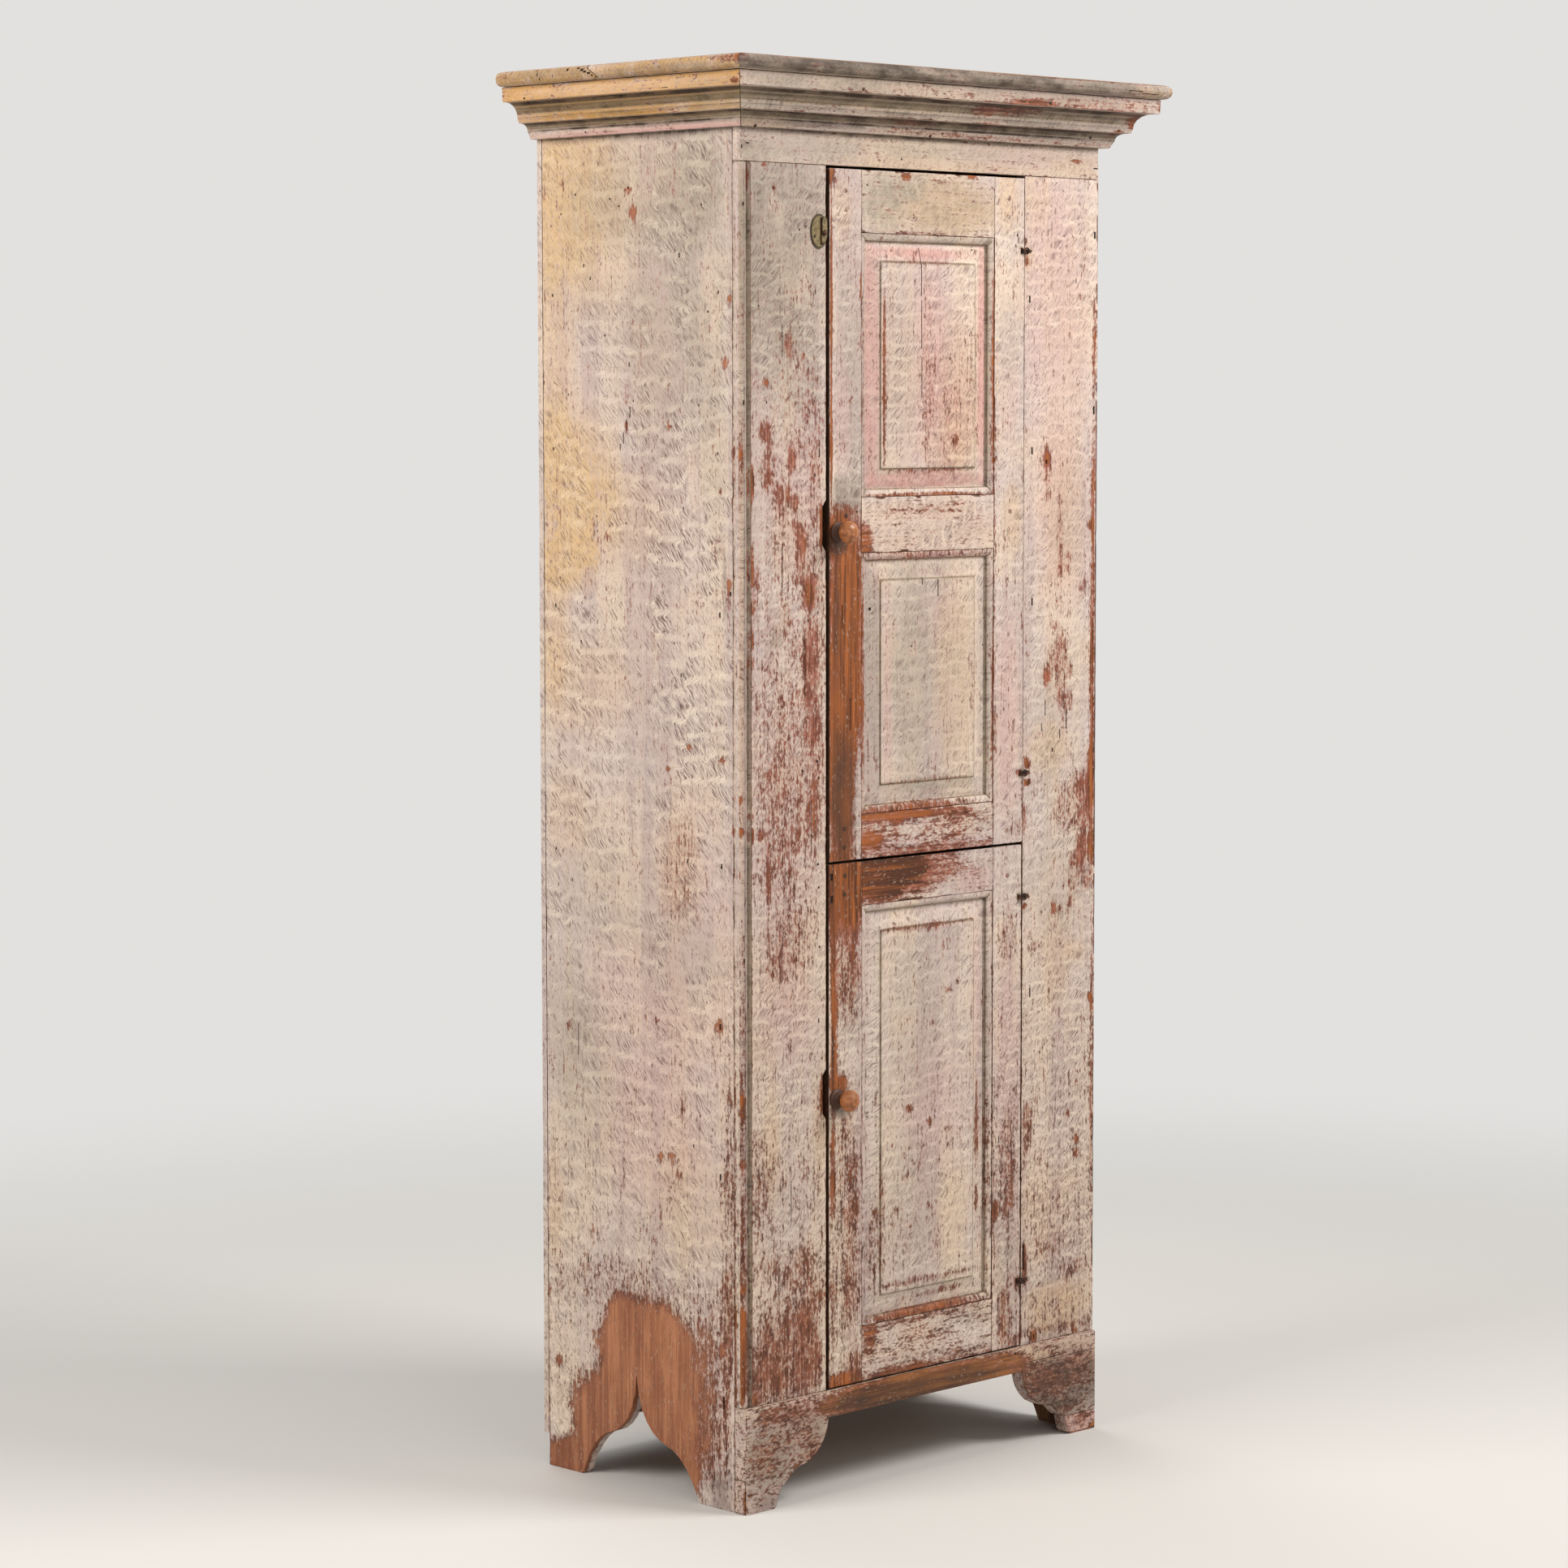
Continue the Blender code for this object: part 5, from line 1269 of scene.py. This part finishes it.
def wear_numbers(node, places, normals, hidden_faces, dark_faces):
    """How much of each kind of wear a vertex has. Hidden faces are bare; dark faces in gaps get dirt and
    painted shade.
    """
    found = {kind: np.zeros(len(places)) for kind in (*KINDS, "inner")}
    for face, kind, a, z, reach_a, reach_z, strength in patches_of(node):
        across = places[:, 1 - FACES[face][0]]
        distance = np.sqrt(((across - a) / reach_a) ** 2 + ((places[:, 2] - z) / reach_z) ** 2)
        amount = strength * smooth(1.5 - distance) * looks(normals, face, 0.15)
        found[kind] += amount
        if kind == "bare":
            found["red"] += 1.2 * amount
    for face in hidden_faces:
        hidden = looks(normals, face, 0.9)
        for kind, amount in (("bare", 2), ("red", 2), ("dirt", 0.3), ("inner", 1)):
            found[kind][hidden] = amount
    # Faces that look into a gap between parts are darkened as dirt and painted shade.
    for face in dark_faces:
        dark = looks(normals, face, 0.8)
        for kind, amount in (("bare", 1), ("red", 1.2), ("dirt", 1.5)):
            found[kind][dark] = amount
    return found


def store(mesh, name, columns):
    """Keeps up to four numbers per vertex as a colour attribute that materials read."""
    data = np.zeros((len(mesh.vertices), 4), np.float32)
    for i, column in enumerate(columns):
        data[:, i] = np.clip(column, -2, 2)
    attribute = mesh.attributes.new(name, "FLOAT_COLOR", "POINT")
    attribute.data.foreach_set("color", data.ravel())


# Making a worn board

inner_corner_reach = 4.2 * mm
shut_in_reach = 4.5 * mm
chip_reach = 5 * mm
pit_depth = 1.6 * mm
crease = math.radians(38)


def wear_down(bm, outer, wave, chip, grain):
    """Moves each vertex in: in slow waves along the grain, and in chips near the board's outer edges."""
    squeeze = Vector((1, 1, 1))
    squeeze[grain] = 0.12
    moves = []
    for v in bm.verts:
        ripple = 0.5 + 0.5 * noise.noise(v.co * squeeze * 22)
        near = max(0.0, 1 - outer(v.co) / chip_reach)
        nibble = max(0.0, noise.noise(v.co * 38) + 0.4 * noise.noise(v.co * 130))
        moves.append(v.normal * (wave * ripple + chip * near * nibble))
    for v, move in zip(bm.verts, moves):
        v.co -= move


def sink_pits(bm, pit_faces):
    """Presses the faces of each pit in, and marks their vertices in a layer."""
    deep = bm.verts.layers.float.new("deep")
    for faces, half in pit_faces:
        faces = [f for f in faces if f.is_valid]
        if faces:
            bmesh.ops.inset_region(
                bm, faces=faces, thickness=0.3 * half, depth=-pit_depth, use_even_offset=True,
                use_boundary=True,
            )
            for f in faces:
                for v in f.verts:
                    v[deep] = 1
    return deep


def finish_piece(name, bm, material, body, replaced=()):
    """Turns a bmesh into a shown piece that rides on a CAD body."""
    mesh = bpy.data.meshes.new(name)
    bm.to_mesh(mesh)
    bm.free()
    mesh.materials.append(material)
    piece = bpy.data.objects.new(name, mesh)
    bpy.context.scene.collection.objects.link(piece)
    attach(piece, body)
    if replaced:
        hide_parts(*replaced)
    return piece


def aged(
    node, material, gap=9 * mm, ease=1.0 * mm, wave=0.35 * mm, chip=0.8 * mm, rim=4 * mm,
    hidden=(), dark=(), grain=2, worn=0.05, low_worn=0.22, firm=1.0, shade=0.0,
    coated="", coat=None,
):
    """A worn copy of a CAD board: eased and chipped edges, a slightly wavy face, nail holes and cracks.

    Gap is the width of the mesh's faces, and rim is how near to the board's ends it is cut once more. Paint
    holds on to a firm edge better, so its rubbed band is that many times narrower. Shade darkens bare pine,
    and the coated face of such a board takes the coat instead.
    """
    bm = bmesh.new()
    bm.from_mesh(nodes[node].data)
    bmesh.ops.remove_doubles(bm, verts=bm.verts, dist=1e-6)
    bmesh.ops.dissolve_limit(bm, angle_limit=math.radians(0.6), verts=bm.verts, edges=bm.edges)
    edges = sharp_edges(bm)
    inner = tree_of(dense_points(sharp_edges(bm, False, 15)))
    open_edges = [e for e in edges if inner((e.verts[0].co + e.verts[1].co) / 2) > inner_corner_reach]
    outer = tree_of(dense_points(open_edges))
    bmesh.ops.bevel(
        bm, geom=edges, offset=ease, offset_type="OFFSET", segments=2, profile=0.5, affect="EDGES",
        clamp_overlap=True,
    )
    low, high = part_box(node)
    lines = {axis: cut_places(low[axis], high[axis], gap, rim) for axis in range(3)}
    for axis in sorted(lines, key=lambda axis: -len(lines[axis])):
        slice_up(bm, axis, lines[axis])
    bm.normal_update()
    pit_faces = cut_to_wear(bm, node, gap)
    wear_down(bm, outer, wave, chip, grain)
    deep = sink_pits(bm, pit_faces)
    bm.normal_update()
    bm.verts.index_update()
    for e in bm.edges:
        e.smooth = not (e.is_manifold and e.calc_face_angle(0) > crease)
    for f in bm.faces:
        f.smooth = True
        if coated:
            axis, sign = FACES[coated]
            f.material_index = int(f.normal[axis] * sign > 0.6)
    places = np.array([v.co for v in bm.verts])
    normals = np.array([v.normal for v in bm.verts])
    holes = np.array([v[deep] for v in bm.verts])
    rims = np.array([outer(v.co) * firm for v in bm.verts])
    numbers = wear_numbers(node, places, normals, hidden, dark)
    numbers["red"] += worn + low_worn * smooth((0.85 - places[:, 2]) / 0.7)
    numbers["ash"] += shade
    # How closed in each vertex is; the paint darkens such places as painted shade.
    shut_in = [
        0 if numbers["inner"][v.index]
        else max(hollowness(v.co, v.normal), 0.95 - inner(v.co) / shut_in_reach)
        for v in bm.verts
    ]
    piece = finish_piece(node + "_aged", bm, material, body_of[node], [node])
    store(piece.data, "wear", [numbers[kind] for kind in KINDS[:4]])
    store(piece.data, "tint", [numbers[kind] for kind in KINDS[4:]])
    store(piece.data, "rim", [rims, holes, np.array(shut_in), numbers["inner"]])
    if coat:
        piece.data.materials.append(coat)
    flat = piece.modifiers.new("flat faces", "WEIGHTED_NORMAL")
    flat.keep_sharp = True


# Materials

paint_up = painted("paint_up", "z")
paint_side = painted(
    "paint_side", "z", comb=1.15, strip=50 * mm, row=34 * mm, reach=9 * mm, wobble=4, hair_scale=370,
    low_share=0.0, wood=(srgb(140, 86, 60), srgb(182, 122, 86)), yellow=srgb(221, 186, 140), bow=2,
)
paint_cross = painted("paint_cross", "x", comb=0.75, yellow=srgb(210, 172, 122))
paint_base = painted("paint_base", "x", comb=0.2, wood=(srgb(66, 38, 18), srgb(170, 108, 56)), streaky=0.3)
paint_cornice = painted(
    "paint_cornice", "x", comb=0.8, strip=60 * mm, row=9 * mm, reach=3 * mm, yellow=srgb(200, 158, 98),
)
paint_deep = painted("paint_deep", "y", comb=0.3, yellow=srgb(202, 153, 84))
pine_up = old_pine("pine_up", "z", srgb(96, 62, 38), srgb(168, 118, 74))
pine_back = old_pine("pine_back", "z", srgb(96, 68, 46), srgb(172, 130, 90))
pine_latch = old_pine("pine_latch", "z", srgb(84, 52, 30), srgb(152, 104, 64))
peg_pine = old_pine("peg_pine", "z", srgb(92, 50, 26), srgb(150, 88, 46))
pine_cross = old_pine("pine_cross", "x", srgb(96, 62, 38), srgb(168, 118, 74))
iron = metal("iron", srgb(42, 34, 30), srgb(74, 60, 52), srgb(112, 58, 32), 0.7, 0.5, 0.12)
brass_looks = (srgb(92, 80, 58), srgb(142, 124, 88), srgb(58, 46, 34), 0.7, 0.44, 0.04)
plate_brass = metal("plate_brass", *brass_looks, rim_of=["keyhole_plate"])
cover_brass = metal("cover_brass", *brass_looks, rim_of=["keyhole_cover"])

# The case

aged("side_left", paint_side, 10 * mm, hidden=["right"], worn=0.02, low_worn=0.1)
aged("side_right", paint_side, 10 * mm, hidden=["left"], worn=0.02, low_worn=0.1)
aged("case_stile_left", paint_up, 6 * mm, hidden=["back"], dark=["right"])
aged("case_stile_right", paint_up, 6 * mm, hidden=["back"], dark=["left"])
aged("frieze_board", paint_cross, 9 * mm, hidden=["back"], grain=0)
for node in ("base_board", "foot_block_right", "foot_patch_left"):
    aged(node, paint_base, 8 * mm, hidden=["back"], grain=0, worn=0.15)
aged("cornice_front", paint_cornice, 10 * mm, ease=0.7 * mm, rim=0, hidden=["back"], grain=0)
aged("cornice_left", paint_deep, 10 * mm, ease=0.7 * mm, rim=0, hidden=["right"], grain=1, firm=2)
aged("cornice_right", paint_deep, 10 * mm, ease=0.7 * mm, rim=0, hidden=["left"], grain=1, firm=2)
for node in ("top_board_front", "top_board_back"):
    aged(node, paint_cornice, 12 * mm, ease=0.8 * mm, rim=0, hidden=["top"], grain=0, firm=3)
aged("back_board_middle", pine_back, 20 * mm, shade=0.75)
for face, shade in (("left", 0.15), ("right", 0.35)):
    aged(
        "back_board_" + face, pine_back, 20 * mm, worn=0.02, low_worn=0.1, firm=2,
        shade=shade, coated=face, coat=paint_side,
    )
for node in ("bottom_board", "middle_board", "shelf_upper_low", "shelf_upper_high", "shelf_lower"):
    aged(node, pine_cross, 25 * mm, grain=0)
for node in ("corner_block_left", "corner_block_right"):
    aged(node, pine_up, 25 * mm)

# The doors

for node in ("upper_latch_bar", "lower_latch_bar"):
    aged(node, pine_latch, 8 * mm, chip=0.5 * mm, rim=0)
for node in [n for n in body_of if "door" in n]:
    if "stile" in node:
        aged(node, paint_up, 7 * mm, hidden=["back"], dark=["left", "right"])
    elif "rail" in node:
        aged(node, paint_cross, 7 * mm, hidden=["back"], dark=["top", "bottom"], grain=0)
for node in [n for n in body_of if "panel" in n]:
    aged(node, paint_up, 7 * mm, ease=0.5 * mm, hidden=["back"], rim=0, worn=0.03, low_worn=0.08)
for node in [n for n in body_of if "moulding" in n]:
    aged(node, paint_up, 12 * mm, ease=0.4 * mm, wave=0.15 * mm, chip=0.3 * mm, rim=0)

# Nodes that no piece replaces: hinges, pins, the keyhole's brass and the knobs

knob_head = 18 * mm
for node, thing in nodes.items():
    if thing.hide_render:
        continue
    if "hinge" in node or "pin" in node or "rivet" in node:
        material = iron
    elif "keyhole" in node:
        material = plate_brass if "plate" in node else cover_brass
    else:
        material = turned_wood(node + "_wood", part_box(node)[0].y + knob_head)
    thing.data.materials.clear()
    thing.data.materials.append(material)
    for polygon in thing.data.polygons:
        polygon.use_smooth = True

# Nails and pegs


def small_dome(bm, place, normal, radius, proud, sides):
    """A low closed dome with an uneven rim, let a little into the face that it sits on."""
    turn = normal.to_track_quat("Z", "Y")
    rings = []
    for share, height in ((0.95, -0.8 * mm), (1.0, 0.25 * proud), (0.6, 0.85 * proud)):
        ring = []
        for k in range(sides):
            angle = math.tau * k / sides
            reach = radius * share * chance.uniform(0.9, 1.08)
            corner = Vector((math.cos(angle) * reach, math.sin(angle) * reach, height))
            ring.append(bm.verts.new(place + turn @ corner))
        rings.append(ring)
    for inner_ring, outer_ring in zip(rings, rings[1:]):
        for k in range(sides):
            after = (k + 1) % sides
            bm.faces.new((inner_ring[k], inner_ring[after], outer_ring[after], outer_ring[k]))
    bm.faces.new(list(reversed(rings[0])))
    tip = bm.verts.new(place + normal * proud)
    for k in range(sides):
        bm.faces.new((rings[-1][k], rings[-1][(k + 1) % sides], tip))


def small_domes(name, face, spots, body, material, radius, proud, sides):
    """Domes on a face of the cupboard, at (across, height) in metres, each on the solid that it meets."""
    axis, sign = FACES[face]
    bm = bmesh.new()
    for across, z in spots:
        start = Vector((0, 0, z))
        start[axis] = sign
        start[1 - axis] = across
        toward = Vector((0, 0, 0))
        toward[axis] = -sign
        place, normal = solid_tree.ray_cast(start, toward)[:2]
        if place is not None:
            small_dome(bm, place, normal, radius, proud, sides)
    finish_piece(name, bm, material, body)


def middle_of(node):
    """The middle of a node's box."""
    low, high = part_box(node)
    return (low + high) / 2


nailed_boards = (
    "bottom_board", "shelf_lower", "middle_board", "shelf_upper_low", "shelf_upper_high", "frieze_board",
)
board_heights = [middle_of(node).z for node in nailed_boards]
nail_inset = 24 * mm
back_spots = []
for node in ("back_board_left", "back_board_middle", "back_board_right"):
    low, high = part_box(node)
    for z in board_heights:
        for x in (low.x + nail_inset, high.x - nail_inset):
            back_spots.append((x + chance.uniform(-6, 6) * mm, z + chance.uniform(-2, 2) * mm))
small_domes("back_nails", "back", back_spots, "case", iron, 3.0 * mm, 0.9 * mm, 7)
side_low, side_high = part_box("side_left")
side_spots = []
for z in board_heights[:-1]:
    for share in (0.2, 0.5, 0.8):
        y = side_low.y + share * (side_high.y - side_low.y)
        side_spots.append((y + chance.uniform(-8, 8) * mm, z + chance.uniform(-2, 2) * mm))
small_domes("side_nails", "right", side_spots, "case", iron, 2.4 * mm, 0.5 * mm, 7)
cornice_spots = [(-0.3354, 1.8256), (-0.0064, 1.8259), (0.3131, 1.8375), (-0.1858, 1.8772), (0.1795, 1.8768)]
small_domes("cornice_nails", "front", cornice_spots, "case", iron, 2.6 * mm, 0.7 * mm, 7)
BARE_JOINTS = ("upper_door_rail_bottom", "upper_door_rail_middle", "lower_door_rail_top")
for door, rails in (
    ("upper_door", ("upper_door_rail_bottom", "upper_door_rail_middle", "upper_door_rail_top")),
    ("lower_door", ("lower_door_rail_bottom", "lower_door_rail_top")),
):
    painted_spots, bare_spots = [], []
    for rail in rails:
        for side in ("left", "right"):
            stile = middle_of(door + "_stile_" + side)
            spots = bare_spots if side == "left" and rail in BARE_JOINTS else painted_spots
            for lift in (-12, 13):
                spots.append((stile.x + chance.uniform(-3, 3) * mm, middle_of(rail).z + lift * mm))
    for name, spots, material, slot in (
        (door + "_pegs", painted_spots, paint_up, "painted_pine"),
        (door + "_bare_pegs", bare_spots, peg_pine, "bare_pine"),
    ):
        small_domes(name, "front", spots, door, material, 3.4 * mm, 0.3 * mm, 9)

# Stage, light and camera


def make_floor():
    """A pale floor that fades into the pale world away from the object."""
    bm = bmesh.new()
    bmesh.ops.create_circle(bm, cap_ends=True, radius=5, segments=96)
    mesh = bpy.data.meshes.new("floor")
    bm.to_mesh(mesh)
    bm.free()
    floor = bpy.data.objects.new("floor", mesh)
    bpy.context.scene.collection.objects.link(floor)
    net = Net("floor_pale")
    net.shader.inputs["Base Color"].default_value = (*srgb(214, 212, 208), 1)
    net.shader.inputs["Roughness"].default_value = 0.9
    length = net.node("ShaderNodeVectorMath", operation="LENGTH")
    net.put(net.place, length.inputs[0])
    clear = net.node("ShaderNodeBsdfTransparent")
    mix = net.node("ShaderNodeMixShader")
    net.put(net.step(length.outputs["Value"], 1.3, 3.4), mix.inputs[0])
    net.tree.links.new(net.shader.outputs[0], mix.inputs[1])
    net.tree.links.new(clear.outputs[0], mix.inputs[2])
    net.tree.links.new(mix.outputs[0], net.output.inputs["Surface"])
    mesh.materials.append(net.material)
    floor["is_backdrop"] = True


def make_world():
    """A soft even light, which the camera, mirrors and glass see as a pale backdrop."""
    world = bpy.data.worlds.new("studio")
    world.use_nodes = True
    bpy.context.scene.world = world
    tree = world.node_tree
    tree.nodes.clear()
    output = tree.nodes.new("ShaderNodeOutputWorld")
    seen = tree.nodes.new("ShaderNodeBackground")
    seen.inputs["Color"].default_value = (*srgb(226, 225, 223), 1)
    lit = tree.nodes.new("ShaderNodeBackground")
    lit.inputs["Color"].default_value = (1, 0.98, 0.95, 1)
    lit.inputs["Strength"].default_value = 0.3
    path = tree.nodes.new("ShaderNodeLightPath")
    mirrored = tree.nodes.new("ShaderNodeMath")
    mirrored.operation = "MAXIMUM"
    sees_pale = tree.nodes.new("ShaderNodeMath")
    sees_pale.operation = "MAXIMUM"
    mix = tree.nodes.new("ShaderNodeMixShader")
    tree.links.new(path.outputs["Is Glossy Ray"], mirrored.inputs[0])
    tree.links.new(path.outputs["Is Transmission Ray"], mirrored.inputs[1])
    tree.links.new(path.outputs["Is Camera Ray"], sees_pale.inputs[0])
    tree.links.new(mirrored.outputs[0], sees_pale.inputs[1])
    tree.links.new(sees_pale.outputs[0], mix.inputs[0])
    tree.links.new(lit.outputs[0], mix.inputs[1])
    tree.links.new(seen.outputs[0], mix.inputs[2])
    tree.links.new(mix.outputs[0], output.inputs["Surface"])


def add_lamp(name, azimuth, elevation, distance, size, power, colour):
    """A soft square lamp aimed at the cupboard's middle, from azimuth 0 in front to -90 at its left."""
    a, e = math.radians(azimuth), math.radians(elevation)
    away = Vector((math.sin(a) * math.cos(e), -math.cos(a) * math.cos(e), math.sin(e)))
    data = bpy.data.lights.new(name, "AREA")
    data.shape = "SQUARE"
    data.size = size
    data.energy = power
    data.color = colour
    lamp = bpy.data.objects.new(name, data)
    lamp.location = (cad_low + cad_high) / 2 + away * distance
    lamp.rotation_mode = "QUATERNION"
    lamp.rotation_quaternion = away.to_track_quat("Z", "Y")
    bpy.context.scene.collection.objects.link(lamp)


def make_camera():
    """The photograph's camera, solved from the edges of the cupboard."""
    data = bpy.data.cameras.new("camera")
    data.sensor_width = 36
    data.lens = 98.75
    camera = bpy.data.objects.new("camera", data)
    camera.location = (-4.2523, -4.17478, 1.46842)
    forward = Vector((0.7013908, 0.7073136, -0.0880817)).normalized()
    right = Vector((0.7100097, -0.7041911, -0.0010183)).normalized()
    up = right.cross(forward)
    turn = Matrix((right, up, -forward)).transposed()
    camera.rotation_mode = "QUATERNION"
    camera.rotation_quaternion = turn.to_quaternion()
    bpy.context.scene.collection.objects.link(camera)
    bpy.context.scene.camera = camera


make_floor()
make_world()
add_lamp("key_lamp", 32, 42, 3.4, 1.6, 101, (1, 0.97, 0.94))
add_lamp("left_lamp", -98, 30, 3.4, 1.8, 76, (1, 0.96, 0.92))
add_lamp("fill_lamp", -20, 12, 4.2, 3.0, 26, (1, 0.98, 0.96))
add_lamp("back_lamp", 160, 35, 4.2, 2.6, 50, (0.97, 0.98, 1))
make_camera()
bpy.context.scene.view_settings.view_transform = "Standard"

low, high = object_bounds()
